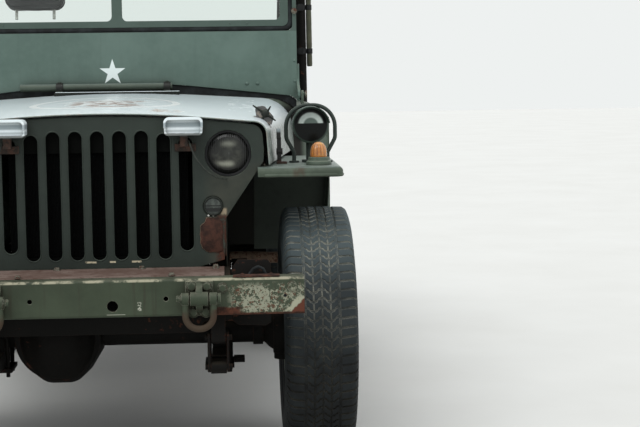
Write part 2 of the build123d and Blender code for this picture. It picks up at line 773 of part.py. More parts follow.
# Windshield, folding forward on two arms
def make_windshield():
    half = windshield_half_width
    depth = 28
    y0, y1 = windshield_y, windshield_y + depth
    bottom = [(half + 18, 1052), (half - 20, 1080, 60), (0, windshield_bow, 2600), (-half + 20, 1080, 60),
              (-half - 18, 1052)]
    edge = [(-half, 1082), (-half, windshield_top, 60), (half, windshield_top, 60), (half, 1082)]
    frame = front_prism(outline(bottom + edge), y0, y1)
    pocket = [(half - 16, 1100, 20), (0, windshield_bow + 20, 2600), (-half + 16, 1100, 20),
              (-half + 16, opening_low - 14, 20),
              (half - 16, opening_low - 14, 20)]
    frame -= front_prism(outline(pocket), y0 + 4, y1 + 1)
    opening = [(-half + 14, opening_low, 20), (half - 14, opening_low, 20),
               (half - 14, windshield_top - 14, 46),
               (-half + 14, windshield_top - 14, 46)]
    frame -= front_prism(outline(opening), y0 - 1, y1 + 1)
    sash = [(-sash_half, sash_low, 20), (sash_half, sash_low, 20), (sash_half, sash_high, 34),
            (-sash_half, sash_high, 34)]
    sash_y = y0 + 4
    frame += front_prism(outline(sash), sash_y, sash_y + 20)
    for pane in pane_outlines(0):
        frame -= front_prism(outline(pane), y0 - 1, y1 + 1)
    # hinges at the head and stays at the sides carry the sash
    for x in (-400, 0, 400):
        frame += block(x - 30, x + 30, sash_y, sash_y + 18, sash_high - 4, windshield_top - 10)
    for side in (-1, 1):
        frame += block(min(side * (sash_half - 3), side * (half - 10)),
                       max(side * (sash_half - 3), side * (half - 10)),
                       sash_y + 4, sash_y + 18, sash_low + 40, sash_low + 62)
        arm_x = side * half
        arm = side_prism(outline([(y1, 1090), (y1, 1190, 12), (y0 + 4, 1190, 12), (y0, 1120, 30),
                                  (fold_y - 14, fold_z + 14, 13), (fold_y - 14, fold_z - 14, 13),
                                  (fold_y + 30, fold_z - 14, 20)]),
                         min(arm_x - side, arm_x + side * 8), max(arm_x - side, arm_x + side * 8))
        frame += arm
    frame -= rod((-half - 40, fold_y, fold_z), (half + 40, fold_y, fold_z), 8 + seat_gap)
    return frame


def pane_outlines(gap):
    inner = 17.5 + gap
    outer = 559 - gap
    low = 1342 + gap
    high = 1640 - gap
    panes = []
    for x0, x1 in ((inner, outer), (-outer, -inner)):
        panes.append([(x0, low, 18), (x1, low, 18), (x1, high, 18), (x0, high, 18)])
    return panes


def make_glass():
    y0 = windshield_y + 11
    return [front_prism(outline(pane), y0, y0 + 5) for pane in pane_outlines(seat_gap)]


# Hood, grille and what stands behind them
def hood_section(y, half, side_z, crown_z, corner, inset):
    face = outline([(half - inset, hood_skirt_z - (1 if inset else 0)),
                    (half - 8 - inset, side_z - inset, corner - inset),
                    (0, crown_z - inset, 3300), (-half + 8 + inset, side_z - inset, corner - inset),
                    (-half + inset, hood_skirt_z - (1 if inset else 0))])
    return Plane.XZ.offset(-y) * face


def hood_solid(inset, y0, y1):
    front = hood_section(y0, 490, 1023, 1067, 38, inset)
    rear = hood_section(y1, 599, 1068, 1104, 110, inset)
    return loft([front, rear], ruled=True)


def make_hood():
    hood = hood_solid(0, hood_front_y,
                      hood_rear_y - 5) - hood_solid(hood_wall, hood_front_y, hood_rear_y - 5)
    # stiffening ribs under the skin
    ribs = Part()
    for y in (-1340, -1100, -820, hood_rear_y - 24):
        ribs += block(-440, 440, y, y + 18, 1016, 1150)
    hood += ribs & hood_solid(hood_wall - 0.5, hood_front_y, hood_rear_y - 5)
    knuckle = rod((-210, hood_hinge_y - 3, hood_hinge_z - 6), (210, hood_hinge_y - 3, hood_hinge_z - 6), 5)
    hood += block(-210, 210, hood_hinge_y - 40, hood_hinge_y - 3, 1090, 1101)
    hood += knuckle
    # catch casting on the left shoulder
    catch = front_prism(outline([(458, 1026), (500, 1010), (508, 1032, 8), (480, 1066, 14),
                                 (452, 1062, 10)]),
                        -1330, -1290)
    return hood + catch


def make_grille():
    plate = outline([(285, 610), (356, 629), (362, 749), (472, 910), (474, 942), (468, 1014, 34),
                     (0, 1059, 3200),
                     (-468, 1014, 34), (-474, 942), (-472, 910), (-362, 749), (-356, 629), (-285, 610)])
    grille = front_prism(plate, grille_y, grille_y + 3)
    depth = 13
    slots = []
    rims = []
    for i in range(-4, 5):
        x = i * 62.5
        low = 655 if abs(i) == 4 else 632
        high = 1004 if abs(i) < 3 else 995 if abs(i) == 3 else 985
        slots.append(slot_outline(x, low, high, 0))
        rims.append(slot_outline(x, low, high, 2.5))
    for rim in rims:
        grille += front_prism(rim, grille_y + 2, grille_y + depth)
    for slot in slots:
        grille -= front_prism(slot, grille_y - 1, grille_y + depth + 1)
    for side in (-1, 1):
        for x, z, radius in ((371, 934, 67), (326, 784, 29)):
            centre = side * x
            grille += rod((centre, grille_y + 1, z), (centre, grille_y + depth + 5, z), radius + 2.5)
            grille -= rod((centre, grille_y - 1, z), (centre, grille_y + depth + 6, z), radius)
    # side returns that bolt to the fenders' aprons
    for side in (-1, 1):
        path = [(side * 362, 640), (side * 362, 749, 10), (side * 470, 907)]
        flange = front_prism(strip(path, side * 3), grille_y + 1, grille_y + 34)
        grille += flange
    foot = block(-285, 285, grille_y + 1, grille_y + 24.7, 610, 613)
    return grille + foot


def slot_outline(x, low, high, grow):
    half = 21.5 + grow
    return outline([(x - half, low - grow, half - 0.1), (x + half, low - grow, half - 0.1),
                    (x + half, high + grow, half - 0.1), (x - half, high + grow, half - 0.1)])


def make_radiator():
    y0 = grille_y + 33
    core = block(-255, 255, y0, y0 + 56, 640, 940)
    top = front_prism(outline([(-255, 940), (255, 940), (255, 1006, 30), (-255, 1006, 30)]), y0 - 12,
                      y0 + 68)
    bottom = front_prism(outline([(-255, 606, 20), (255, 606, 20), (255, 640), (-255, 640)]), y0 - 8,
                         y0 + 64)
    cap = rod((0, y0 + 28, 1004), (0, y0 + 28, 1026), 30)
    return core + top + bottom + cap


# Front fenders, left one made
def make_fender():
    # profile over the wheel: front lip, flat top, slope down to the step
    top = [(-1470, 866), (-1470, fender_top, 16), (-860, fender_top, 90), (-556, 556)]
    wall = 3

    def body(grow):
        path = [(y + (grow if i < 2 else 0), z - (grow if 0 < i else 0), *r) for i,
                (y, z, *r) in enumerate(top)]
        lower = [(-556 - 40, 556 - 4), (-885, 866, 80)]
        face = outline(path + lower)
        solid = side_prism(face, 455 - (1 if grow else 0), fender_half_width - grow)
        edges = [e for e in solid.edges() if abs(e.center().X - (fender_half_width - grow)) < 0.01
                 and e.center().Z > 560 and not (e.center().Z < 867 and e.center().Y > -880 and e.length < 45)]
        upper = [e for e in edges if on_path(e, grow)]
        return fillet(upper, 16 - grow)

    def on_path(edge, grow):
        # the outer edge of the top face, not the one below it
        y, z = edge.center().Y, edge.center().Z
        if y < -885:
            return z > fender_top - grow - 3
        share = (y + 860) / (-556 + 860)
        return z > fender_top + share * (556 - fender_top) - 14 - grow and z < fender_top + 1

    outer = body(0)
    inner = body(wall)
    fender = outer - inner
    apron_path = [(364, 605 + seat_gap), (364, 749, 20), (457, 888)]
    front = grille_y + 34.5
    fender += front_prism(strip(apron_path, wall), front, firewall_y - 1)
    fender += block(452, 470, front, -870, fender_top - wall, fender_top)
    # notch round the grille's edge
    return fender - block(400, 462, grille_y - seat_gap, front - 0.2, fender_top - 20, fender_top + 1)


# Lamps
def make_headlamps():
    y = grille_y + 12
    bowl = turned([(0, 0), (0, 66.7), (14, 66.7), (14, 62), (60, 46, 30), (96, 20, 14), (96, 0)],
                  (371, y, 934), (0, 1, 0))
    bowl -= turned([(-1, 0), (-1, 60), (12, 58), (52, 40, 20), (70, 0)], (371, y, 934), (0, 1, 0))
    return both_sides(bowl)


def make_headlamp_lenses():
    y = grille_y + 12
    lens = turned([(-10, 0), (-8, 28), (-3, 48), (2, 58.7), (5, 58.7), (5, 0)], (371, y, 934), (0, 1, 0))
    return both_sides(lens)


def make_marker_lamps():
    y = grille_y - 4
    body = turned([(0, 0), (0, 22, 3), (6, 28), (40, 26, 8), (52, 12), (52, 0)], (326, y, 784), (0, 1, 0))
    body -= block(326 - 15, 326 + 15, y - 1, y + 3, 779, 789)
    plate = block(286, 352, grille_y - 2 - seat_gap, grille_y - seat_gap, 650, 752)
    return both_sides(body) + [plate]


def make_visor_lamps():
    # rectangular lamps on a bent foot, with a hood over the lens
    y0, y1 = -1528, -1462
    case = front_prism(outline([(194, 990, 10), (300, 990, 10), (302, 1040, 14), (192, 1040, 14)]),
                       y0 + 12, y1)
    visor = front_prism(outline([(192, 1012), (302, 1012), (302, 1042, 16), (192, 1042, 16)]), y0, y0 + 14)
    lamp = case + visor
    lamp -= front_prism(outline([(199, 995, 7), (295, 995, 7), (296, 1034, 10), (198, 1034, 10)]), y0 - 1,
                        y0 + 17)
    lamp += block(236, 258, y1 - 30, y1 - 8, 962, 992)
    lamp += block(236, 258, y1 - 30, grille_y - seat_gap, 958, 964)
    lamp += block(220, 280, grille_y - 4 - seat_gap, grille_y - seat_gap, 942, 964)
    return both_sides(lamp)


def make_lamp_wires():
    # from the foot of the visor lamp, sagging to the foot of the headlamp
    route = [(260.5, -1482, 974), (276, -1500, 930), (306, -1498, 890), (340, -1482, 866),
             (366, -1447, 862)]
    radii = []
    for i in range(1, len(route) - 1):
        before = Vector(*route[i]) - Vector(*route[i - 1])
        after = Vector(*route[i + 1]) - Vector(*route[i])
        turn = math.radians(before.get_angle(after))
        radii.append(0.45 * min(before.length, after.length) / math.tan(turn / 2))
    print("lamp wire radii", [round(r, 1) for r in radii])
    return both_sides(bent_rod(route, radii, 2.2))


def make_blackout_lamp():
    # hooded drive lamp with its hoop guard, on the left fender
    x, y, z = 617, -1255, 1006
    lamp = turned([(0, 0), (0, 50), (4, 54), (26, 54, 6), (62, 44, 24), (86, 18, 12), (86, 0)],
                  (x, y - 40, z),
                  (0, 1, 0))
    hood = turned([(-34, 56), (26, 56), (26, 53), (-34, 53)], (x, y - 40, z), (0, 1, 0))
    hood = hood & block(x - 80, x + 80, y - 90, y + 40, z + 6, z + 80)
    lamp += hood
    lamp += rod((x, y, fender_top + seat_gap), (x, y, z - 40), 13)
    lamp += rod((x, y, fender_top + seat_gap), (x, y, fender_top + 8), 26)
    feet = ((x - 49, y - 6, fender_top + seat_gap), (x + 51, y - 6, fender_top + seat_gap))
    knee = fender_top + 30
    hoop = bent_rod([feet[0], (feet[0][0], y - 6, knee), (x - 72, y - 6, z - 40), (x - 72, y - 6, z + 58),
                     (x + 74, y - 6, z + 58), (x + 74, y - 6, z - 40), (feet[1][0], y - 6, knee), feet[1]],
                    [16, 30, 64, 64, 30, 16], 6)
    for foot in feet:
        hoop += rod(foot, (foot[0], foot[1], foot[2] + 5), 15)
    return [lamp, hoop]


def make_turn_signals():
    x, y = 634, -1385
    base = rod((x, y, fender_top + seat_gap), (x, y, 905), 37) + rod((x, y, 904), (x, y, 917), 30)
    return both_sides(base)


def make_turn_domes():
    x, y = 634, -1385
    dome = turned([(0, 0), (0, 25), (18, 24, 8), (43, 14, 12), (43, 0)], (x, y, 917 + seat_gap), (0, 0, 1))
    return both_sides(dome)


def make_hood_latch():
    # spring catch on the fender: foot, bail and lever
    x, y = 522, -1305
    latch = block(x - 8, x + 22, y - 24, y + 24, fender_top - 1, fender_top + 6)
    latch += block(x - 6, x + 6, y - 9, y + 9, fender_top + 4, 972)
    latch += side_prism(outline([(y - 12, 968), (y + 12, 968), (y + 9, 998, 6), (y - 9, 998, 6)]), x - 7,
                        x + 5)
    return latch + rod((x - 8, y, 930), (x + 10, y, 930), 10)


def make_hood_tube():
    # bar across the cowl in two clamps
    y, z = -524, 1118
    bar = rod((-330, y, z), (185, y, z), 12.5)
    for x in (-197, 168):
        clamp = rod((x - 11, y, z), (x + 11, y, z), 16.5)
        clamp += block(x - 11, x + 11, y - 13, y + 13, 1090, 1112)
        bar += clamp
    return bar


# Cab: seats, cage, steering and controls
def make_passenger_seat():
    # pedestal, pan, back shell and headrest posts
    x = -seat_x
    y0, y1 = cushion_y
    seat = Part()
    for rail_x in (x - 170, x + 150):
        seat += block(rail_x, rail_x + 20, y0 + 20, y1 - 30, floor_z + skin + seat_gap, 700)
    seat += block(x - 200, x + 200, y0 + 10, y1 - 10, 696, 712)
    for side in (-1, 1):
        seat += side_prism(outline([(y1 - 60, 700), (y1 + 10, 700), (y1 + 34, 960, 12), (y1 - 2, 960, 12)]),
                           x + side * 240 - 4, x + side * 240 + 4)
    seat += block(x - 242, x + 242, y1 - 60, y1 - 10, 700, 708)
    return seat


def seat_slab(x, half, y0, y1, z0, z1, corner):
    return front_prism(outline([(x - half, z0, corner), (x + half, z0, corner), (x + half, z1, corner),
                                (x - half, z1, corner)]), y0, y1)


def make_back(x, half, low, high, y, thick, lean, corner):
    # a back cushion that leans to the rear about its foot
    slab = seat_slab(0, half, 0, thick, 0, high - low, corner)
    return Pos(x, y, low) * Rot(-lean, 0, 0) * slab


def make_passenger_pads():
    x = -seat_x
    y0, y1 = cushion_y
    cushion = plan_prism(outline([(x - 235, y0, 60), (x + 235, y0, 60), (x + 235, y1 - 8, 50),
                                  (x - 235, y1 - 8, 50)]),
                         712 + seat_gap, 848)
    back = make_back(x, 236 - seat_gap, back_low, 1400, y1 - 20, 110, 9, 60)
    return cushion, back


def make_headrest():
    x = -seat_x
    place = Pos(x, cushion_y[1] - 20, back_low) * Rot(-9, 0, 0)
    rise = 1400 - back_low
    head = place * seat_slab(0, 125, 6, 100, rise + 33, rise + 198, 34)
    posts = Part()
    for side in (-1, 1):
        posts += rod((side * 75, 55, rise + seat_gap), (side * 75, 55, rise + 33 - seat_gap), 6)
    return head, place * posts


def make_driver_seat():
    # tubular frame over the tank
    x = seat_x
    y0, y1 = cushion_y
    z = tank_top + 26
    frame = block(x - 205, x + 205, y0 + 30, y1 - 10, z, z + 14)
    for side in (-1, 1):
        post = bent_rod([(x + side * 218, y0 + 40, z + 7), (x + side * 218, y1 - 6, z + 7),
                         (x + side * 218, y1 + 90, 1170)], 40, 11)
        frame += post
    for side in (-1, 1):
        frame += block(x + side * 212 - 8, x + side * 212 + 8, y0 + 60, y0 + 84,
                       floor_z + skin + seat_gap, z + 4)
    frame += rod((x - 218, y1 + 90, 1166), (x + 218, y1 + 90, 1166), 11)
    frame += block(x - 218, x + 218, y0 + 40, y0 + 60, z, z + 12)
    return frame


def make_driver_pads():
    x = seat_x
    y0, y1 = cushion_y
    z = tank_top + 26 + 14 + seat_gap
    cushion = plan_prism(outline([(x - 200, y0 + 20, 50), (x + 200, y0 + 20, 50), (x + 200, y1 - 20, 40),
                                  (x - 200, y1 - 20, 40)]), z, z + 85)
    back = make_back(x, 207 - seat_gap, 900, 1150, y1 - 30, 70, 12, 40)
    return cushion, back


def make_rear_seat():
    y0, y1 = rear_seat_y
    z = 790
    half = 455
    seat = Part()
    for side in (-1, 1):
        seat += bent_rod([(side * half, y0 + 20, rear_floor_z + skin + seat_gap), (side * half, y0 + 20, z),
                          (side * half, y1, z), (side * half, y1 + 60, 1090)], [50, 50], 12)
        seat += rod((side * half, y1 - 20, rear_floor_z + skin + seat_gap), (side * half, y1 - 20, z), 12)
    for y, height in ((y0 + 60, z), (y1 - 40, z)):
        seat += rod((-half, y, height), (half, y, height), 11)
    seat += rod((-half, y1 + 56, 1070), (half, y1 + 56, 1070), 11)
    return seat


def make_rear_pads():
    y0, y1 = rear_seat_y
    cushion = plan_prism(outline([(-435, y0 + 10, 30), (435, y0 + 10, 30), (435, y1 - 20, 30),
                                  (-435, y1 - 20, 30)]),
                         801 + seat_gap, 880)
    back = make_back(0, 443 - seat_gap, 890, 1060, y1 - 10, 44, 11, 20)
    return cushion, back


def make_cage():
    foot = floor_z + skin + seat_gap
    front = bent_rod([(-cage_x, cage_front_y, foot), (-cage_x + 10, cage_front_y, cage_top),
                      (cage_x - 10, cage_front_y, cage_top), (cage_x, cage_front_y, foot)], 130,
                      cage_radius)
    for side in (-1, 1):
        front += block(side * cage_x - 38, side * cage_x + 38, cage_front_y - 38, cage_front_y + 38, foot,
                       foot + 6)
    foot = housing_top + seat_gap
    rear = bent_rod([(-cage_rear_x, cage_rear_y, foot), (-cage_rear_x + 10, cage_rear_y, cage_top),
                     (cage_rear_x - 10, cage_rear_y, cage_top), (cage_rear_x, cage_rear_y, foot)], 130,
                     cage_radius)
    for side in (-1, 1):
        rear += block(side * cage_rear_x - 38, side * cage_rear_x + 38, cage_rear_y - 38, cage_rear_y + 38,
                      foot, foot + 6)
    touch = cage_radius + seat_gap
    stay_x = cage_rear_x - 8
    for side in (-1, 1):
        rear += rod((side * 480, cage_front_y + touch, cage_top), (side * 470, cage_rear_y, cage_top),
                    cage_radius)
        rear += rod((side * stay_x, cage_rear_y, cage_top - cage_stay_drop),
                    (side * 610, 1300, foot + 26), cage_radius)
        rear += block(side * 610 - 38, side * 610 + 38, 1262, 1338, foot, foot + 30)
    return front, rear


def make_curtain_rolls():
    # rolled side curtains strapped to the front hoop's uprights
    radius = 11
    ends = []
    for z in (1180, 1600):
        hoop_x = cage_x - 10 * (z - floor_z) / (cage_top - floor_z)
        ends.append((hoop_x + cage_radius + radius + seat_gap, cage_front_y, z))
    return both_sides(rod(ends[0], ends[1], radius))


def make_steering_gear():
    # gear case on the left rail, shaft and jacket tube up through the firewall
    case = block(238, 300, -890, -790, 566, 690)
    case += block(238, 300, -926, -889, 560, 600)
    case += block(238, frame_half_width - rail_wall - seat_gap, -926, -906, 560, 584)
    case += rod((299, pitman_y, pitman_z), (305.5, pitman_y, pitman_z), 17)
    start, end = Vector(*box_point), Vector(*wheel_point)
    along = (end - start).normalized()
    case += rod(box_point, (end - along * 60), 20)
    shaft_end = end - along * 44
    case += rod((end - along * 62), shaft_end, 10)
    return case


def make_steering_wheel():
    start, end = Vector(*box_point), Vector(*wheel_point)
    along = (end - start).normalized()
    plane = Plane(origin=end, x_dir=(1, 0, 0), z_dir=along)
    rim = plane * Torus(205, 11)
    wheel = rim
    for angle in (90, 210, 330):
        spoke = plane * (Rot(0, 0, angle) * Pos(104, 0, -10) * Rot(0, -5, 0) * Box(196, 18, 7))
        wheel += spoke
    wheel += rod((end - along * 43), (end + along * 6), 27)
    return wheel


def make_controls():
    # gear lever, two transfer levers, hand brake and the pedals
    z = 690 + seat_gap
    levers = []
    levers.append(bent_rod([(0, -400, z + 3), (0, -370, 800), (20, -230, 930)], 90, 8)
                  + Pos(20, -230, 930) * Sphere(19) + rod((0, -400, z), (0, -400, z + 22), 24))
    for x, height in ((40, 900), (66, 880)):
        levers.append(rod((x, -380, z + 4), (x + 6, -300, height),
                          6) + Pos(x + 6, -300, height) * Sphere(12)
                      + block(x - 12, x + 12, -400, -360, z, z + 6))
    pedals = []
    for x, y in ((250, -424), (390, -424), (470, -400)):
        pedals.append(rod((x, y, 790), (x, y + 50, 724),
                          7) + Pos(x, y + 52, 722) * Rot(50, 0, 0) * Box(64, 56, 8)
                      + rod((x, firewall_y + skin + seat_gap, 790), (x, y + 4, 790), 9))
    return levers + pedals


# Steering linkage and wheels
def make_knuckle(drag_arm):
    # cup over the axle's ball, king pins, backing plate, spindle and steering arms; left one
    x, y, z = kingpin_x, front_axle_y, tyre_radius
    inner = ball_radius + ball_gap
    outer = inner + cup_wall
    mouth = -30
    plate = half_track - 42 - x

    def on_circle(along, radius):
        return (along, math.sqrt(radius ** 2 - along ** 2))

    lip_in = on_circle(mouth, inner)
    lip_out = on_circle(mouth, outer)
    plate_foot = on_circle(plate - 8, outer)
    plate_back = on_circle(plate, outer)
    nose = on_circle(math.sqrt(outer ** 2 - spindle_radius ** 2), outer)
    end = spindle_end - x
    section = make_face([
        ThreePointArc(lip_in, on_circle(inner * 0.6, inner), (inner, 0)),
        Line((inner, 0), (end, 0)),
        Line((end, 0), (end, spindle_radius)),
        Line((end, spindle_radius), nose),
        ThreePointArc(nose, on_circle((nose[0] + plate) / 2, outer), plate_back),
        Line(plate_back, (plate, drum_radius)),
        Line((plate, drum_radius), (plate - 8, drum_radius)),
        Line((plate - 8, drum_radius), plate_foot),
        ThreePointArc(plate_foot, on_circle(0, outer), lip_out),
        Line(lip_out, lip_in),
    ])
    cup = revolve(Plane(origin=(x, y, z), x_dir=(1, 0, 0), z_dir=(0, -1, 0)) * section,
                  axis=Axis((x, y, z), (1, 0, 0)))
    for side in (-1, 1):
        cup += rod((x, y, z + side * (outer - 6)), (x, y, z + side * 90), 28)
        cup += rod((x, y, z + side * 50), (x, y, z + side * 88), 10)
    arm = plan_prism(outline([(x - 20, y + 22, 10), (x + 20, y + 22, 10), (x + 14, tie_y - 14, 13),
                              (x - 14, tie_y - 14, 13)]), z + 86, arm_top_z)
    cup += arm
    cup += rod((x, tie_y, arm_top_z - 4), (x, tie_y, link_z + 12), 8)
    if drag_arm:
        cup += plan_prism(outline([(x, y + 20), (x, y - 20), (drag_x - 14, y - 14, 13),
                                   (drag_x - 14, y + 14, 13)]),
                          z + 86, arm_top_z)
        cup += rod((drag_x, y, arm_top_z - 4), (drag_x, y, link_z + 12), 8)
    return cup


def link_eye(x, y):
    return rod((x, y, arm_top_z + 0.5), (x, y, link_z + 8), 17)


def eye_bore(x, y):
    return rod((x, y, arm_top_z - 10), (x, y, link_z + 20), 8.5)


def make_tie_rod():
    link = rod((-kingpin_x + 14, tie_y, link_z), (kingpin_x - 14, tie_y, link_z), 10.5)
    for side in (-1, 1):
        link += link_eye(side * kingpin_x, tie_y)
    for side in (-1, 1):
        link -= eye_bore(side * kingpin_x, tie_y)
    return link


def make_drag_link():
    link = bent_rod([(drag_x, front_axle_y, link_z), (346, front_axle_y + 65, link_z),
                     (drag_rear_x, pitman_y, link_z)],
                    60, 9)
    link += link_eye(drag_x, front_axle_y)
    link -= eye_bore(drag_x, front_axle_y)
    return link + rod((drag_rear_x - 11.5, pitman_y, link_z), (drag_rear_x + 11, pitman_y, link_z), 17)


def make_pitman_arm():
    low = pitman_z - pitman_length
    arm = side_prism(outline([(pitman_y - 17, low - 17, 16), (pitman_y + 17, low - 17, 16),
                              (pitman_y + 24, pitman_z + 24, 22), (pitman_y - 24, pitman_z + 24, 22)]),
                              306, 318)
    return arm + rod((317, pitman_y, low), (320, pitman_y, low), 14)


def make_tyre(centre, axis):
    shoulder = tyre_width / 2
    bead = 87.7
    half = [(-bead, rim_radius), (-bead, 219), (-97, 227, 6), (-shoulder, 290, 90), (-99, 352, 16),
            (-88, 375, 14),
            (88, 375, 14), (99, 352, 16), (shoulder, 290, 90), (97, 227, 6), (bead, 219),
            (bead, rim_radius)]
    return turned(half, centre, axis)


def make_rim(centre, axis, hub):
    # drop-centre rim and disc; the road wheels carry the brake drum and hub too. The axis points outwards.
    barrel = [(-94, 218, 3), (-88, 218, 2.5), (-88, rim_radius - seat_gap), (-62, rim_radius - seat_gap),
              (-50, 182, 8),
              (50, 182, 8), (62, rim_radius - seat_gap), (88, rim_radius - seat_gap), (88, 218, 2.5),
              (94, 218, 3),
              (92, 197, 4), (65, 196), (53, 176, 8), (-53, 176, 8), (-65, 196), (-92, 197, 4)]
    rim = turned(barrel, centre, axis)
    rim += turned([(23, 52), (23, 96, 14), (40, 116, 16), (36, 150, 30), (12, 178), (6, 178), (30, 148, 30),
                   (34, 119, 16), (18, 100, 14), (18, 52)], centre, axis)
    if hub:
        section = [(-36, drum_radius - 6), (-36, drum_radius), (14, drum_radius, 8), (20, 100), (20, 96),
                   (18.5, 80),
                   (18.5, 42), (72, 38, 6), (72, 0), (60, 0), (60, spindle_radius + 0.5),
                   (-14, spindle_radius + 0.5), (-14, 42), (12, 46), (12, 90), (8, drum_radius - 6, 4)]
        rim += turned(section, centre, axis)
    return rim


# Rear end
def make_spare_bracket():
    y0 = tub_rear_y + 10 + seat_gap
    face = spare_y + 18 - seat_gap
    bracket = block(spare_x - 110, spare_x + 110, y0, y0 + 8, spare_z - 130, spare_z + 130)
    bracket += rod((spare_x, y0 + 4, spare_z), (spare_x, face, spare_z), 48)
    bracket += rod((spare_x, face - 8, spare_z), (spare_x, face, spare_z), 90)
    for side in (-1, 1):
        bracket += side_prism(outline([(y0, spare_z - 120), (y0, spare_z + 100), (face - 6, spare_z + 40),
                                       (face - 6, spare_z - 40)]), spare_x + side * 40 - 3,
                                       spare_x + side * 40 + 3)
    return bracket


def make_jerry_can():
    x, y0, z0 = 400, 1412, 700
    can = plan_prism(outline([(x - 172, y0, 40), (x + 172, y0, 40), (x + 172, y0 + 162, 40),
                              (x - 172, y0 + 162, 40)]),
                     z0, z0 + 430)
    can = chamfer(can.edges().group_by(Axis.Z)[-1], 12)
    for dy in (36, 81, 126):
        can += bent_rod([(x - 110, y0 + dy, z0 + 426), (x - 100, y0 + dy, z0 + 462),
                         (x + 60, y0 + dy, z0 + 462),
                         (x + 70, y0 + dy, z0 + 426)], 16, 7)
    can += rod((x + 128, y0 + 81, z0 + 420), (x + 136, y0 + 81, z0 + 458), 28)
    holder = block(x - 180, x + 180, y0 - 8, y0 + 172, z0 - 6 - seat_gap, z0 - seat_gap)
    holder += block(x - 180, x + 180, tub_rear_y + 6 + seat_gap, y0 - seat_gap, z0 - 6 - seat_gap, z0 + 250)
    for z in (z0 + 60, z0 + 200):
        band = plan_prism(outline([(x - 178, y0 - 6, 44), (x + 178, y0 - 6, 44), (x + 178, y0 + 168, 44),
                                   (x - 178, y0 + 168, 44)]), z, z + 30)
        band -= plan_prism(outline([(x - 172.5, y0 - 0.5, 40), (x + 172.5, y0 - 0.5, 40),
                                    (x + 172.5, y0 + 162.5, 40), (x - 172.5, y0 + 162.5, 40)]), z - 1,
                                    z + 31)
        holder += band
    return can, holder


def make_bumperettes():
    y0 = frame_rear_y + seat_gap
    channel = [(y0, 526), (y0 + 62, 526, 10), (y0 + 62, 612, 10), (y0, 612)]
    hollow = [(y0 - 1, 532), (y0 + 56, 532), (y0 + 56, 606), (y0 - 1, 606)]
    piece = side_prism(outline(channel), 318, 520) - side_prism(outline(hollow), 317, 521)
    piece += block(330, 369, y0, y0 + 4, 530, 608)
    return both_sides(piece)


def make_pintle():
    y = 1318 + 62 + seat_gap
    plate = block(-62, 62, y, y + 12, 526, 612)
    shank = rod((0, y + 10, 570), (0, y + 50, 570), 24)
    jaw = side_prism(outline([(y + 46, 545), (y + 60, 528, 8), (y + 104, 528, 20), (y + 112, 562, 14),
                              (y + 92, 566, 5), (y + 84, 552, 8), (y + 70, 552, 8), (y + 66, 588),
                              (y + 46, 596)]),
                     -18, 18)
    latch = side_prism(outline([(y + 48, 590), (y + 66, 584), (y + 100, 574), (y + 106, 600, 14),
                                (y + 60, 622, 14)]),
                       -15, 15)
    return plate + shank + jaw + latch


def make_tail_lamps():
    y = tub_rear_y + seat_gap
    lamp = rod((660, y, 740), (660, y + 44, 740), 40) + block(630, 690, y, y + 8, 700, 790)
    return both_sides(lamp)


def make_side_handles():
    handles = Part()
    x = tub_half_width - 1
    for y0, y1, z in ((560, 720, 905), (1130, 1290, 905)):
        handles += bent_rod([(x, y0, z), (x + 47, y0 + 10, z), (x + 47, y1 - 10, z), (x, y1, z)], 22, 7)
        for y in (y0, y1):
            handles += rod((x, y, z), (x + 6, y, z), 20)
    return handles


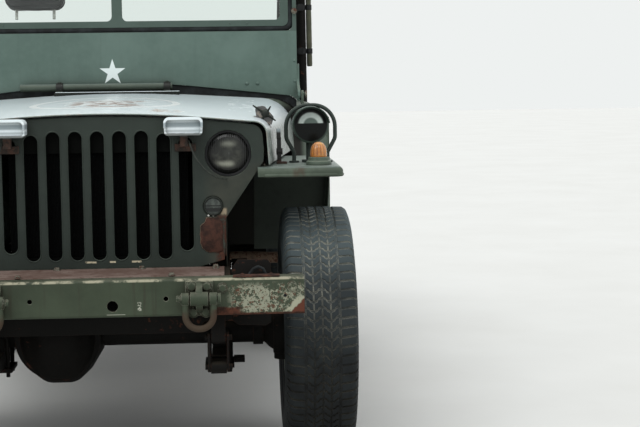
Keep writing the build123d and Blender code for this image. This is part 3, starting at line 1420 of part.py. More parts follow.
# Writing the pieces
def build():
    save("frame", *make_frame())
    save("front_bumper", make_bumper(), make_bumper_cover())
    save("tow_shackles", *both_sides(make_tow_bracket(tow_x)), *both_sides(make_tow_shackle(tow_x)))
    ball_bores = Part()
    for side in (-1, 1):
        ball_bores += rod((side * kingpin_x, front_axle_y, tyre_radius - 90),
                          (side * kingpin_x, front_axle_y, tyre_radius - 48), 10.5)
        ball_bores += rod((side * kingpin_x, front_axle_y, tyre_radius + 48),
                          (side * kingpin_x, front_axle_y, tyre_radius + 90), 10.5)
    save("front_axle", make_front_axle() - ball_bores)
    save("rear_axle", make_rear_axle())
    springs = both_sides(make_leaf_spring(front_axle_y)) + both_sides(make_leaf_spring(rear_axle_y))
    fittings = []
    for eye_y in (front_eye_ys[0], rear_eye_ys[1]):
        fittings += both_sides(make_shackle(eye_y))
    for eye_y in (front_eye_ys[1], rear_eye_ys[0]):
        fittings += both_sides(make_eye_pin(eye_y))
    for y in (front_axle_y, rear_axle_y):
        fittings += both_sides(make_spring_clamp(y))
    save("leaf_springs", *springs, *fittings)
    shocks = []
    for y, head_z in ((front_axle_y, 556), (rear_axle_y, 569)):
        shocks += both_sides(make_shock(y, head_z))
        for mount in make_shock_mounts(y, head_z):
            shocks += both_sides(mount)
    save("shock_absorbers", *shocks)
    save("engine", make_engine(), make_fan())
    save("driveline", make_gearbox(), make_drive_shaft(front_shaft_y), make_drive_shaft(rear_shaft_y))
    save("exhaust", make_exhaust())
    save("skid_plate", make_skid_plate())
    save("fuel_tank", make_fuel_tank())
    save("tub_floor", make_floor())
    side = make_side() + make_side_handles()
    save("tub_side_left", side)
    save("tub_side_right", mirrored(side))
    save("tub_tail", make_tail())
    cowl = make_cowl() + make_hood_tube()
    start, end = Vector(*box_point), Vector(*wheel_point)
    cowl -= rod(start, end, 21.5)
    save("cowl", cowl)
    save("windshield_frame", make_windshield())
    save("windshield_glass", *make_glass())
    save("hood", make_hood())
    save("grille", make_grille())
    save("radiator", make_radiator())
    fender = make_fender() + make_hood_latch()
    save("fender_left", fender)
    save("fender_right", mirrored(fender))
    save("headlamps", *make_headlamps())
    save("headlamp_lenses", *make_headlamp_lenses())
    save("marker_lamps", *make_marker_lamps(), *make_tail_lamps())
    save("visor_lamps", *make_visor_lamps())
    save("lamp_wires", *make_lamp_wires())
    save("blackout_lamp", *make_blackout_lamp())
    save("turn_signals", *make_turn_signals(), *make_turn_domes())
    save("seat_frames", make_passenger_seat(), make_driver_seat(), make_rear_seat())
    save("front_seat_pads", *make_passenger_pads(), *make_driver_pads())
    save("headrest", *make_headrest())
    save("rear_seat_pads", *make_rear_pads())
    front_hoop, rear_hoop = make_cage()
    save("cage_front_hoop", front_hoop)
    save("cage_rear_hoop", rear_hoop)
    save("curtain_rolls", *make_curtain_rolls())
    save("cab_controls", make_steering_gear(), *make_controls())
    save("steering_wheel", make_steering_wheel())
    save("knuckle_left", make_knuckle(True))
    save("knuckle_right", mirrored(make_knuckle(False)))
    save("tie_rod", make_tie_rod())
    save("drag_link", make_drag_link())
    save("pitman_arm", make_pitman_arm())
    for name, side, y in (("front_left", 1, front_axle_y), ("front_right", -1, front_axle_y),
                          ("rear_left", 1, rear_axle_y), ("rear_right", -1, rear_axle_y)):
        centre = (side * half_track, y, tyre_radius)
        save("tyre_" + name, make_tyre(centre, (side, 0, 0)))
        save("rim_" + name, make_rim(centre, (side, 0, 0), True))
    centre = (spare_x, spare_y, spare_z)
    save("spare_tyre", make_tyre(centre, (0, 1, 0)))
    save("spare_rim", make_rim(centre, (0, 1, 0), False))
    can, holder = make_jerry_can()
    save("jerry_can", can)
    save("tail_brackets", make_spare_bracket(), holder)
    save("rear_bumpers", *make_bumperettes(), make_pintle())


build()
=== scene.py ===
import math
import random
import bpy
import bmesh
from mathutils import Matrix, Vector
from mathutils.bvhtree import BVHTree


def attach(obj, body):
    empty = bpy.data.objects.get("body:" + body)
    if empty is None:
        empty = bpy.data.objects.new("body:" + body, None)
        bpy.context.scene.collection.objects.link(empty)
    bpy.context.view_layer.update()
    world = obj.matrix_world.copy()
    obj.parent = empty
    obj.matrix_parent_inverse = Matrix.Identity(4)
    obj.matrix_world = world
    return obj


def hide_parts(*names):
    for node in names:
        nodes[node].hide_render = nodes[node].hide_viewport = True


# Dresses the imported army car: paint, rust, treaded tyres, upholstery, lamps and fasteners.
# Metres. The car faces -Y, +X is its left side, Z is up.

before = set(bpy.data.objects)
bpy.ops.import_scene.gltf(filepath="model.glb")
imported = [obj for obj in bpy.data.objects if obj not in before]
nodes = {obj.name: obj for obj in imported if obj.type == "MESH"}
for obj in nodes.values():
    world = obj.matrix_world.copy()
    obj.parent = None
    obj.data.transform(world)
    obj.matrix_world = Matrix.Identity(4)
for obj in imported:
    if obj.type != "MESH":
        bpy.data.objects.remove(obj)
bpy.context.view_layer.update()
scene = bpy.context.scene
scene.view_settings.view_transform = "Standard"
print("frame loaded:", len(nodes), "nodes")

cameraSetup = {"place": (0.3688, -5.8997, 1.1722), "lens": 87.62, "yaw": 3.384, "pitch": -5.319,
               "roll": -0.754}


def placeCamera(setup):
    yaw, pitch, roll = (math.radians(setup[k]) for k in ("yaw", "pitch", "roll"))
    ahead = Vector((math.sin(yaw) * math.cos(pitch), math.cos(yaw) * math.cos(pitch), math.sin(pitch)))
    level = Vector((math.cos(yaw), -math.sin(yaw), 0))
    over = level.cross(ahead)
    across = level * math.cos(roll) + over * math.sin(roll)
    above = over * math.cos(roll) - level * math.sin(roll)
    data = bpy.data.cameras.new("camera")
    data.lens = setup["lens"]
    data.clip_end = 200
    camera = bpy.data.objects.new("camera", data)
    turn = Matrix((across, above, -ahead)).transposed().to_4x4()
    camera.matrix_world = Matrix.Translation(setup["place"]) @ turn
    scene.collection.objects.link(camera)
    scene.camera = camera


placeCamera(cameraSetup)


def tint(red, green, blue):
    # a colour given as screen values, 0 to 255
    def level(value):
        value = value / 255
        return value / 12.92 if value <= 0.04045 else ((value + 0.055) / 1.055) ** 2.4
    return (level(red), level(green), level(blue), 1)


def addNode(tree, kind, settings=None, sockets=None):
    # one shader node: its settings first, then its values and links
    node = tree.nodes.new(kind)
    for name, value in (settings or {}).items():
        setattr(node, name, value)
    for name, value in (sockets or {}).items():
        value = value.socket if isinstance(value, Field) else value
        if isinstance(value, bpy.types.NodeSocket):
            tree.links.new(value, node.inputs[name])
        else:
            node.inputs[name].default_value = value
    return node


class Field:
    # a value that varies over a surface, so it can be used in sums
    def __init__(self, finish, socket):
        self.finish = finish
        self.socket = socket

    def __add__(self, other):
        return self.finish.sum("ADD", self, other)

    def __sub__(self, other):
        return self.finish.sum("SUBTRACT", self, other)

    def __mul__(self, other):
        return self.finish.sum("MULTIPLY", self, other)

    def __truediv__(self, other):
        return self.finish.sum("DIVIDE", self, other)

    def __rsub__(self, other):
        return self.finish.sum("SUBTRACT", other, self)

    def __rtruediv__(self, other):
        return self.finish.sum("DIVIDE", other, self)

    def __mod__(self, other):
        return self.finish.sum("FLOORED_MODULO", self, other)

    def __abs__(self):
        return self.finish.sum("ABSOLUTE", self)

    __radd__ = __add__
    __rmul__ = __mul__


class Finish:
    # one material, built up in layers
    def __init__(self, name):
        self.material = bpy.data.materials.new(name)
        self.material.use_nodes = True
        self.tree = self.material.node_tree
        self.tree.nodes.clear()
        self.spot = self.make("ShaderNodeTexCoord").outputs["Object"]
        self.x, self.y, self.z = self.parts(self.spot)
        self.geometry = self.make("ShaderNodeNewGeometry")
        self.colour = None
        self.rough = 0.5
        self.metal = 0.0
        self.gloss = 0.3
        self.height = None
        self.base = None

    def make(self, kind, settings=None, sockets=None):
        return addNode(self.tree, kind, settings, sockets)

    def sum(self, operation, *values):
        node = self.make("ShaderNodeMath", {"operation": operation}, dict(enumerate(values)))
        return Field(self, node.outputs[0])

    def parts(self, vector):
        node = self.make("ShaderNodeSeparateXYZ", None, {0: vector})
        return [Field(self, node.outputs[i]) for i in range(3)]

    def place(self, centre=(0, 0, 0), turn=(0, 0, 0), size=(1, 1, 1)):
        # coordinates about a centre, turned, and counted in units of size
        sockets = {"Vector": self.spot, "Location": centre, "Rotation": turn, "Scale": size}
        return self.make("ShaderNodeMapping", {"vector_type": "TEXTURE"}, sockets).outputs[0]

    def noise(self, scale, detail=5, rough=0.58, where=None, bend=0):
        sockets = {"Vector": where or self.spot, "Scale": scale, "Detail": detail, "Roughness": rough,
                   "Distortion": bend}
        return Field(self, self.make("ShaderNodeTexNoise", None, sockets).outputs[0])

    def rise(self, value, low, high):
        # 0 below low, 1 above high, smooth between
        sockets = {"Value": value, "From Min": low, "From Max": high}
        return Field(self, self.make("ShaderNodeMapRange", {"interpolation_type": "SMOOTHSTEP"},
                                     sockets).outputs[0])

    def between(self, value, low, high, soft=0.002):
        return self.rise(value, low - soft, low + soft) * (1 - self.rise(value, high - soft, high + soft))

    def room(self, xs, ys, zs, soft=0.002):
        return self.between(self.x, *xs, soft) * self.between(self.y, *ys, soft) * self.between(self.z, *zs,
                soft)

    def span(self, across, along):
        return self.sum("SQRT", across * across + along * along)

    def mix(self, share, first, second):
        settings = {"data_type": "RGBA", "clamp_factor": True}
        return self.make("ShaderNodeMix", settings, {0: share, 6: first, 7: second}).outputs[2]

    def upward(self):
        return self.parts(self.geometry.outputs["Normal"])[2]

    def edge(self, width):
        # 1 along edges; the rounded normal also softens the edge itself
        rounded = self.make("ShaderNodeBevel", {"samples": 6}, {"Radius": width}).outputs[0]
        self.base = rounded
        near = self.make("ShaderNodeVectorMath", {"operation": "DOT_PRODUCT"},
                         {0: rounded, 1: self.geometry.outputs["Normal"]})
        return self.rise(1 - Field(self, near.outputs["Value"]), 0.02, 0.22)

    def hollow(self, reach):
        # 1 deep in corners
        shade = self.make("ShaderNodeAmbientOcclusion", {"samples": 6}, {"Distance": reach}).outputs["AO"]
        return 1 - Field(self, shade)

    def mark(self, share, colour, rough=None, metal=None):
        self.colour = self.mix(share, self.colour, colour)
        if rough is not None:
            self.rough = self.rough + (rough - self.rough) * share
        if metal is not None:
            self.metal = self.metal + (metal - self.metal) * share

    def settle(self, bump=0.001, strength=0.5, **constants):
        sockets = {"Base Color": self.colour, "Roughness": self.rough, "Metallic": self.metal,
                   "Specular IOR Level": self.gloss}
        sockets.update(constants)
        normal = self.base
        if self.height is not None:
            bumpSockets = {"Height": self.height, "Distance": bump, "Strength": strength}
            if normal is not None:
                bumpSockets["Normal"] = normal
            normal = self.make("ShaderNodeBump", None, bumpSockets).outputs[0]
        if normal is not None:
            sockets["Normal"] = normal
        shader = self.make("ShaderNodeBsdfPrincipled", None, sockets)
        self.make("ShaderNodeOutputMaterial", None, {0: shader.outputs[0]})
        return self.material


rustTones = {"dark": tint(44, 30, 24), "mid": tint(78, 47, 35), "bright": tint(112, 68, 46)}


def wornPaint(name, look):
    # army paint: faded in clouds, dusty on top, chipped at edges, rusty in places, darker in corners where
    # dirt sits and as painted shade
    paint = Finish(name)
    paint.gloss = look.get("gloss", 0.3)
    cloud = paint.noise(look.get("cloud", 3.5), 6, 0.62)
    speck = paint.noise(look.get("speck", 46), 6, 0.68)
    grain = paint.noise(520, 3, 0.6)
    runs = paint.noise(1, 5, 0.6, paint.place(size=(0.018, 0.018, 0.28)))
    edge = paint.edge(look.get("edgeWidth", 0.003))
    hollow = paint.hollow(0.07)
    paint.colour = paint.mix(paint.rise(cloud, 0.36, 0.66), look["paint"], look["faded"])
    paint.mark(paint.rise(speck, 0.42, 0.72) * 0.35, look["faded"])
    paint.mark(paint.rise(runs, 0.52, 0.74) * look.get("runs", 0.35), look["dirtAndShadeTone"])
    dusty = paint.rise(paint.upward(), 0.25, 0.9) * paint.rise(speck + cloud, 0.7, 1.15)
    paint.rough = look["rough"] + speck * 0.14
    paint.mark(dusty * look.get("dust", 0.4), look["dustTone"], look.get("dustRough", 0.75))
    # darker in corners from ambient occlusion: dirt there, and painted shade
    paint.mark(paint.rise(hollow, 0.18, 0.75) * look.get("cornerGrimeAndShade", 0.7), look["dirtAndShadeTone"], 0.85)
    paint.mark(edge * paint.rise(speck, 0.4, 0.56) * look.get("worn", 0.6), look["bare"], 0.5)
    spots = paint.rise(speck * 0.62 + cloud * 0.38 + edge * 0.12, look.get("rustFrom", 0.63),
                       look.get("rustFrom", 0.63) + 0.035)
    rustTone = paint.mix(paint.rise(grain, 0.4, 0.62), rustTones["dark"], rustTones["mid"])
    paint.mark(spots, rustTone, 0.9, 0)
    paint.height = speck * 0.45 + grain * 0.35 - spots * 0.5
    paint.cloud, paint.speck, paint.grain, paint.edges = cloud, speck, grain, edge
    return paint


def rustSkin(paint, share):
    # bare rusted metal laid over paint
    tone = paint.mix(paint.rise(paint.speck, 0.38, 0.62), rustTones["dark"], rustTones["mid"])
    tone = paint.mix(paint.rise(paint.grain * 0.5 + paint.speck * 0.5, 0.56, 0.68), tone, rustTones["bright"])
    paint.mark(share, tone, 0.92)


bodyLook = {"paint": tint(64, 76, 66), "faded": tint(82, 95, 82), "dustTone": tint(126, 132, 118),
            "dirtAndShadeTone": tint(36, 35, 29),
            "bare": tint(136, 140, 122), "rough": 0.42, "rustFrom": 0.655, "dust": 0.4}
# the grille is painted much darker than the body: painted shade under the hood's overhang
grilleLook = {"paint": tint(29, 37, 32), "faded": tint(40, 49, 43), "dustTone": tint(104, 112, 100),
              "dirtAndShadeTone": tint(30, 33, 28),
              "bare": tint(88, 104, 90), "rough": 0.45, "worn": 0.75, "rustFrom": 0.67, "edgeWidth": 0.004,
              "runs": 0.25}
hoodLook = {"paint": tint(84, 100, 92), "faded": tint(104, 119, 110), "dustTone": tint(150, 160, 152),
            "dirtAndShadeTone": tint(58, 60, 50),
            "bare": tint(168, 172, 158), "rough": 0.2, "rustFrom": 0.665, "dust": 0.12, "dustRough": 0.4,
            "runs": 0.1, "gloss": 0.5}
windshieldLook = {"paint": tint(79, 98, 90), "faded": tint(92, 111, 103), "dustTone": tint(130, 140, 128),
                  "dirtAndShadeTone": tint(48, 52, 44),
                  "bare": tint(120, 132, 118), "rough": 0.4, "rustFrom": 0.68, "runs": 0.08, "worn": 0.35}
bumperLook = {"paint": tint(48, 56, 43), "faded": tint(60, 69, 54), "dustTone": tint(106, 106, 92),
              "dirtAndShadeTone": tint(46, 42, 33),
              "bare": tint(150, 150, 134), "rough": 0.45, "rustFrom": 0.65, "worn": 0.8, "edgeWidth": 0.004,
              "runs": 0.5, "gloss": 0.2}
# chassis and cast parts are near black: their dark dirty paint, darkened further as painted shade under the
# car
chassisLook = {"paint": tint(8, 8, 6), "faded": tint(15, 13, 11), "dustTone": tint(60, 54, 44),
               "dirtAndShadeTone": tint(20, 18, 15),
               "bare": tint(62, 50, 40), "rough": 0.62, "rustFrom": 0.60, "worn": 0.5, "gloss": 0.12}
castLook = {"paint": tint(8, 8, 6), "faded": tint(16, 14, 12), "dustTone": tint(52, 46, 38),
            "dirtAndShadeTone": tint(22, 20, 17),
            "bare": tint(64, 54, 45), "rough": 0.66, "rustFrom": 0.575, "worn": 0.5, "speck": 90,
            "gloss": 0.12}
wheelLook = {"paint": tint(70, 82, 68), "faded": tint(92, 102, 86), "dustTone": tint(120, 112, 94),
             "dirtAndShadeTone": tint(52, 46, 36),
             "bare": tint(140, 138, 122), "rough": 0.5, "rustFrom": 0.635, "cornerGrimeAndShade": 0.8}
floorLook = {"paint": tint(62, 70, 58), "faded": tint(80, 86, 72), "dustTone": tint(118, 110, 94),
             "dirtAndShadeTone": tint(40, 36, 28),
             "bare": tint(120, 116, 100), "rough": 0.6, "rustFrom": 0.61, "dust": 0.7, "cornerGrimeAndShade": 0.85}

bodyPaint = wornPaint("bodyPaint", bodyLook).settle()
wheelPaint = wornPaint("wheelPaint", wheelLook).settle()
floorPaint = wornPaint("floorPaint", floorLook).settle()
chassisPaint = wornPaint("chassisPaint", chassisLook).settle(0.0016)
castIron = wornPaint("castIron", castLook).settle(0.002)


def grillePaint():
    paint = wornPaint("grillePaint", grilleLook)
    # cream chips under the slots, a pale patch and rust beside the marker lamp on the left
    low = paint.between(paint.z + paint.speck * 0.003, 0.6275, 0.6325, 0.0006)
    under = sum(paint.between(paint.x, left, right, 0.001) for left,
                right in ((-0.041, -0.010), (0.028, 0.045), (0.091, 0.118)))
    paint.mark(low * under * paint.rise(paint.noise(110, 4, 0.7), 0.4, 0.46), tint(182, 172, 146), 0.6)
    # painted highlight along the slot edges, low on the grille
    paint.mark(paint.edges * (1 - paint.rise(paint.z, 0.655, 0.70)) * 0.35, tint(104, 122, 106), 0.5)
    side = paint.room((0.348, 0.364), (-1.46, -1.4), (0.758, 0.777), 0.004) * paint.rise(paint.speck, 0.44,
            0.5)
    paint.mark(side, tint(168, 152, 126), 0.6)
    soiled = paint.rise(paint.x, 0.29, 0.34) * (1 - paint.rise(paint.z, 0.86, 0.93)) * paint.rise(paint.cloud,
            0.3, 0.55)
    paint.mark(soiled * 0.6, tint(66, 66, 56), 0.6)
    seam = paint.room((0.334, 0.37), (-1.46, -1.4), (0.62, 0.756), 0.008) * paint.rise(paint.speck, 0.36, 0.5)
    rustSkin(paint, seam)
    return paint.settle()


def starMask(paint, across, along, radius, soft):
    # a five-pointed star, its top point towards +along
    reach = paint.span(across, along)
    angle = paint.sum("ARCTAN2", across, along)
    wedge = math.tau / 5
    folded = abs(((angle + wedge / 2) % wedge) - wedge / 2)
    u = reach * paint.sum("COSINE", folded)
    v = reach * paint.sum("SINE", folded)
    inner = radius * 0.382
    tip = Vector((radius, 0))
    notch = Vector((inner * math.cos(math.pi / 5), inner * math.sin(math.pi / 5)))
    side = (notch - tip).normalized()
    normal = Vector((side.y, -side.x))
    distance = u * normal.x + v * normal.y - normal.dot(tip)
    return 1 - paint.rise(distance, -soft, soft)


def hoodPaint():
    paint = wornPaint("hoodPaint", hoodLook)
    emblem = {"centre": (-0.008, -1.005), "ring": 0.222, "line": 0.012, "star": 0.17}
    across = paint.x - emblem["centre"][0]
    along = paint.y - emblem["centre"][1]
    onTop = paint.rise(paint.upward(), 0.5, 0.8)
    worn = paint.rise(paint.noise(30, 5, 0.7) + paint.cloud * 0.3, 0.48, 0.6)
    # painted sky sheen: the top is painted near white, a painted reflection of the sky
    paint.mark(paint.rise(paint.upward(), 0.12, 0.75) * (0.95 - paint.rise(paint.cloud, 0.4, 0.7) * 0.08),
               tint(236, 248, 252), 0.24)
    reach = paint.span(across, along)
    ring = paint.between(reach, emblem["ring"] - emblem["line"], emblem["ring"] + emblem["line"], 0.002)
    star = starMask(paint, across, along, emblem["star"], 0.002)
    white = tint(252, 254, 253)
    paint.mark(ring * onTop * (1 - worn * 0.2), white, 0.3)
    paint.mark(star * onTop * (1 - worn * 0.3), white, 0.3)
    patch = paint.between(paint.x, 0.375, 0.462) * paint.between(paint.y, -1.16, -0.66)
    paint.mark(patch * (1 - worn) * 0.6, white, 0.45)
    blotch = paint.rise(paint.noise(24, 5, 0.65), 0.46, 0.54)
    bare = paint.room((-0.11, 0.115), (-1.20, -0.93), (1, 1.2), 0.03) * blotch
    paint.mark(bare, tint(132, 104, 94), 0.5)
    streak = paint.room((0.15, 0.235), (-1.36, -1.25), (1, 1.2), 0.02) * blotch
    paint.mark(streak, tint(142, 108, 84), 0.5)
    front = paint.between(paint.y, -1.47, -1.44, 0.004) * paint.rise(paint.speck, 0.5, 0.6)
    paint.mark(front * 0.3, tint(140, 108, 84), 0.7)
    # the catch on the left shoulder is bare dark iron with light flakes
    iron = paint.room((0.448, 0.512), (-1.335, -1.285), (1, 1.07), 0.001)
    ironTone = paint.mix(paint.rise(paint.noise(90, 4, 0.7), 0.55, 0.6), tint(26, 25, 24), tint(120, 108, 94))
    paint.mark(iron, ironTone, 0.6)
    return paint.settle(0.0004, 0.2, **{"Coat Weight": 1.0, "Coat Roughness": 0.38, "Coat IOR": 1.75})


def windshieldPaint():
    paint = wornPaint("windshieldPaint", windshieldLook)
    front = paint.rise(-0.4935 - paint.y, -0.001, 0.001)
    star = starMask(paint, paint.x + 0.019, paint.z - 1.168, 0.046, 0.0006)
    paint.mark(star * front * 0.95, tint(226, 236, 234), 0.5)
    sash = paint.rise(paint.z, 1.30, 1.306)
    paint.mark(sash * 0.55, tint(50, 60, 54), 0.45)
    return paint.settle()


def bumperPaint():
    paint = wornPaint("bumperPaint", bumperLook)
    cover = paint.rise(paint.z, 0.6071, 0.6073) * paint.rise(paint.y, -1.6335, -1.6325)
    tail = paint.rise(paint.speck, 0.5, 0.62)
    # the left end: flaked to cream primer, with rust along its low corner
    leftEnd = paint.between(paint.x, 0.372, 0.6, 0.02) * (1 - paint.rise(paint.z, 0.576, 0.6))
    broad = paint.between(paint.x, 0.40, 0.475, 0.03) * 0.10 + paint.between(paint.x, 0.50, 0.58, 0.03) * 0.05
    level = paint.between(paint.z, 0.515, 0.585, 0.012) * 0.05
    flake = paint.rise(paint.noise(30, 6, 0.8) * 0.6 + paint.noise(120, 4, 0.75) * 0.4 + broad + level, 0.600,
                       0.63)
    paint.mark(leftEnd * flake, tint(134, 136, 118), 0.55)
    paint.mark(leftEnd * paint.rise(paint.noise(90, 4, 0.8), 0.56, 0.6), tint(84, 58, 44), 0.8)
    slope = paint.x - (paint.z - 0.504) * 0.93 + (paint.speck - 0.5) * 0.03
    stripe = paint.between(slope, 0.510, 0.531, 0.003) * (1 - paint.rise(paint.z, 0.548, 0.556))
    paint.mark(stripe * paint.rise(paint.speck, 0.36, 0.46), tint(150, 150, 130), 0.55)
    paint.mark(paint.rise(slope, 0.530, 0.533) * (1 - paint.rise(paint.z, 0.552, 0.562)), tint(86, 48, 35),
               0.8)
    rustSkin(paint, (1 - paint.rise(paint.z + paint.speck * 0.012, 0.514, 0.52)) * paint.rise(paint.x, 0.33,
            0.4))
    foot = paint.between(paint.x, 0.325, 0.40,
                         0.012) * (1 - paint.rise(paint.z + paint.speck * 0.02, 0.534, 0.54))
    rustSkin(paint, foot)
    scratch = paint.between(paint.x, 0.118, 0.128, 0.001) * paint.between(paint.z, 0.522, 0.545, 0.002)
    scratch = scratch * paint.rise(paint.noise(220, 3), 0.5, 0.54)
    line = paint.between(paint.x, 0.034, 0.084, 0.001) * paint.between(paint.z, 0.5115, 0.5128, 0.0004)
    paint.mark(scratch + line, tint(160, 162, 148), 0.5)
    topEdge = paint.between(paint.z, 0.6, 0.6068, 0.001) * paint.rise(-1.66 - paint.y, -0.004, 0.004)
    paint.mark(topEdge * paint.rise(paint.noise(20, 5, 0.7), 0.42, 0.56) * 0.8, tint(164, 160, 138), 0.5)
    blotch = paint.mix(paint.rise(paint.noise(7, 5, 0.65), 0.4, 0.62), tint(96, 78, 70), tint(122, 106, 98))
    paint.mark(cover, blotch, 0.7)
    paint.mark(cover * tail * 0.5, tint(72, 46, 36), 0.8)
    bow = paint.between(abs(paint.x), 0.225, 0.345, 0.004) * paint.rise(-1.702 - paint.y, 0, 0.004)
    bow = bow * (1 - paint.rise(paint.z + paint.speck * 0.05, 0.525, 0.56))
    paint.mark(bow * 0.85, tint(62, 48, 38), 0.8)
    return paint.settle()


def rustySheet():
    paint = wornPaint("rustySheet", {**bodyLook, "rustFrom": 0.45})
    rustSkin(paint, paint.rise(paint.noise(30, 5, 0.6), 0.2, 0.4))
    return paint.settle(0.0015, 0.7)


def exhaustSteel():
    paint = wornPaint("exhaustSteel", {**castLook, "paint": tint(88, 74, 62), "faded": tint(112, 92, 76),
                                       "rustFrom": 0.5})
    return paint.settle(0.0015)


def tyreRubber():
    rubber = Finish("tyreRubber")
    hollow = rubber.hollow(0.012)
    edge = rubber.edge(0.0012)
    cloud = rubber.noise(14, 5, 0.6)
    grain = rubber.noise(420, 3, 0.6)
    rubber.colour = rubber.mix(rubber.rise(cloud, 0.35, 0.65), tint(18, 20, 21), tint(28, 32, 33))
    # towards the top the tyre is painted lighter and bluish grey, a painted sky sheen; the dust in the
    # grooves and the edges get lighter towards the top too, painted light
    high = rubber.rise(rubber.z, 0.25, 0.74)
    rubber.mark(rubber.rise(rubber.z, 0.25, 0.5) * 0.55, tint(46, 53, 55))
    rubber.mark(rubber.rise(rubber.z, 0.52, 0.72) * 0.85, tint(80, 91, 93))
    tread = rubber.rise(hollow, 0.28, 0.6) * (0.3 + rubber.rise(cloud, 0.36, 0.6) * 0.65)
    dust = rubber.mix(high, tint(64, 61, 53), tint(180, 180, 168))
    rubber.mark(tread, dust)
    rubber.mark(edge * high * 0.4, tint(112, 118, 115))
    rubber.mark(rubber.rise(cloud * 0.6 + grain * 0.4, 0.52, 0.68) * high * 0.3, tint(96, 94, 84))
    rubber.rough = 0.66 + grain * 0.2
    rubber.gloss = 0.2
    rubber.height = grain
    return rubber.settle(0.0005)


def windowGlass():
    glass = Finish("windowGlass")
    haze = glass.noise(6, 5, 0.6)
    glass.colour = tint(236, 244, 240)
    glass.rough = glass.rise(haze, 0.45, 0.8) * 0.12
    return glass.settle(**{"Transmission Weight": 1.0, "IOR": 1.45})


def headlampGlass():
    glass = Finish("headlampGlass")
    side = abs(glass.x) - 0.371
    across = glass.span(side, glass.z - 0.934)
    flutes = glass.sum("SINE", glass.x * (math.tau / 0.0052))
    inside = 1 - glass.rise(across, 0.03, 0.052)
    # painted highlights: a soft band below and another above the lens centre
    low = glass.between(glass.z, 0.898, 0.908, 0.010) * (1 - glass.rise(side + 0.006, 0.01, 0.034)) * inside
    high = glass.between(glass.z, 0.957, 0.966, 0.010) * (1 - glass.rise(abs(side), 0.004, 0.03)) * inside
    smoke = glass.noise(40, 4, 0.6)
    glass.colour = glass.mix(glass.rise(across, 0.026, 0.056), tint(26, 28, 24), tint(6, 7, 6))
    glass.mark(glass.rise(smoke, 0.45, 0.7) * inside * 0.4, tint(82, 84, 74))
    glass.mark(low * 0.75, tint(182, 184, 168))
    glass.mark(high * 0.5, tint(160, 162, 148))
    core = 1 - glass.rise(across, 0.010, 0.020)
    glass.mark(core * 0.6, tint(40, 42, 38))
    glass.metal = 0.2
    glass.rough = 0.24 + smoke * 0.1
    glass.height = flutes
    return glass.settle(0.0006, 0.6, **{"Coat Weight": 0.3, "Coat Roughness": 0.08})


def drivePaint():
    # the hooded lamp is nearly black, its guard hoop grey-green
    paint = wornPaint("drivePaint", {**bodyLook, "gloss": 0.12})
    reach = paint.span(paint.x - 0.617, paint.z - 1.006)
    lamp = (1 - paint.rise(reach, 0.059, 0.0605)) * paint.rise(paint.z, 0.945, 0.95)
    rim = paint.between(reach, 0.0495, 0.06, 0.001) * paint.rise(-1.27 - paint.y, 0, 0.004)
    paint.mark(lamp * 0.9, tint(28, 33, 31), 0.35)
    paint.mark(rim * 0.6, tint(74, 88, 80), 0.3)
    # painted highlight on the top of the lamp body
    paint.mark(lamp * paint.rise(paint.upward(), 0.6, 0.95) * 0.5, tint(138, 152, 146), 0.25)
    paint.mark((1 - lamp) * 0.75, tint(42, 48, 48), 0.4)
    return paint.settle()


def fenderPaint():
    paint = wornPaint("fenderPaint", bodyLook)
    # under the fender: painted shade and dirt; on the apron behind the tyre: painted shade
    under = paint.rise(-1 * paint.upward(), 0.3, 0.8)
    apron = (1 - paint.rise(paint.z, 0.858, 0.87)) * (1 - paint.rise(paint.y, -0.92, -0.86))
    apronShadeTone = paint.mix(paint.rise(paint.cloud, 0.4, 0.6), tint(20, 21, 18), tint(36, 34, 28))
    paint.mark(under * 0.9, tint(18, 20, 17), 0.85)
    paint.mark(apron * 0.85, apronShadeTone, 0.85)
    lip = paint.rise(-1.452 - paint.y, -0.002, 0.004) * paint.rise(paint.z, 0.86, 0.87)
    paint.mark(lip * 0.75, paint.mix(paint.rise(paint.noise(14, 4, 0.6), 0.4, 0.6), tint(52, 61, 49),
                                     tint(69, 79, 66)), 0.4)
    spot = lip * paint.between(paint.x, 0.556, 0.588, 0.006) * paint.rise(paint.speck, 0.38, 0.5)
    paint.mark(spot * 0.7, tint(66, 56, 44), 0.7)
    # the fender's flat top is painted lighter, a painted highlight
    litTop = paint.rise(paint.upward(), 0.6, 0.9) * paint.rise(paint.z, 0.88, 0.89)
    paint.mark(litTop * 0.4, tint(112, 126, 122), 0.4)
    # the latch standing on each fender is black iron with a pale top
    catch = paint.between(abs(paint.x), 0.511, 0.547, 0.001) * paint.between(paint.y, -1.333, -1.277, 0.001)
    catch = catch * paint.rise(paint.z, 0.8945, 0.8955)
    paint.mark(catch, tint(22, 22, 21), 0.4)
    paint.mark(catch * paint.rise(paint.z, 0.984, 0.992), tint(132, 142, 144), 0.3)
    paint.mark(catch * (1 - paint.rise(paint.z, 0.902, 0.908)), tint(58, 42, 34), 0.8)
    return paint.settle()


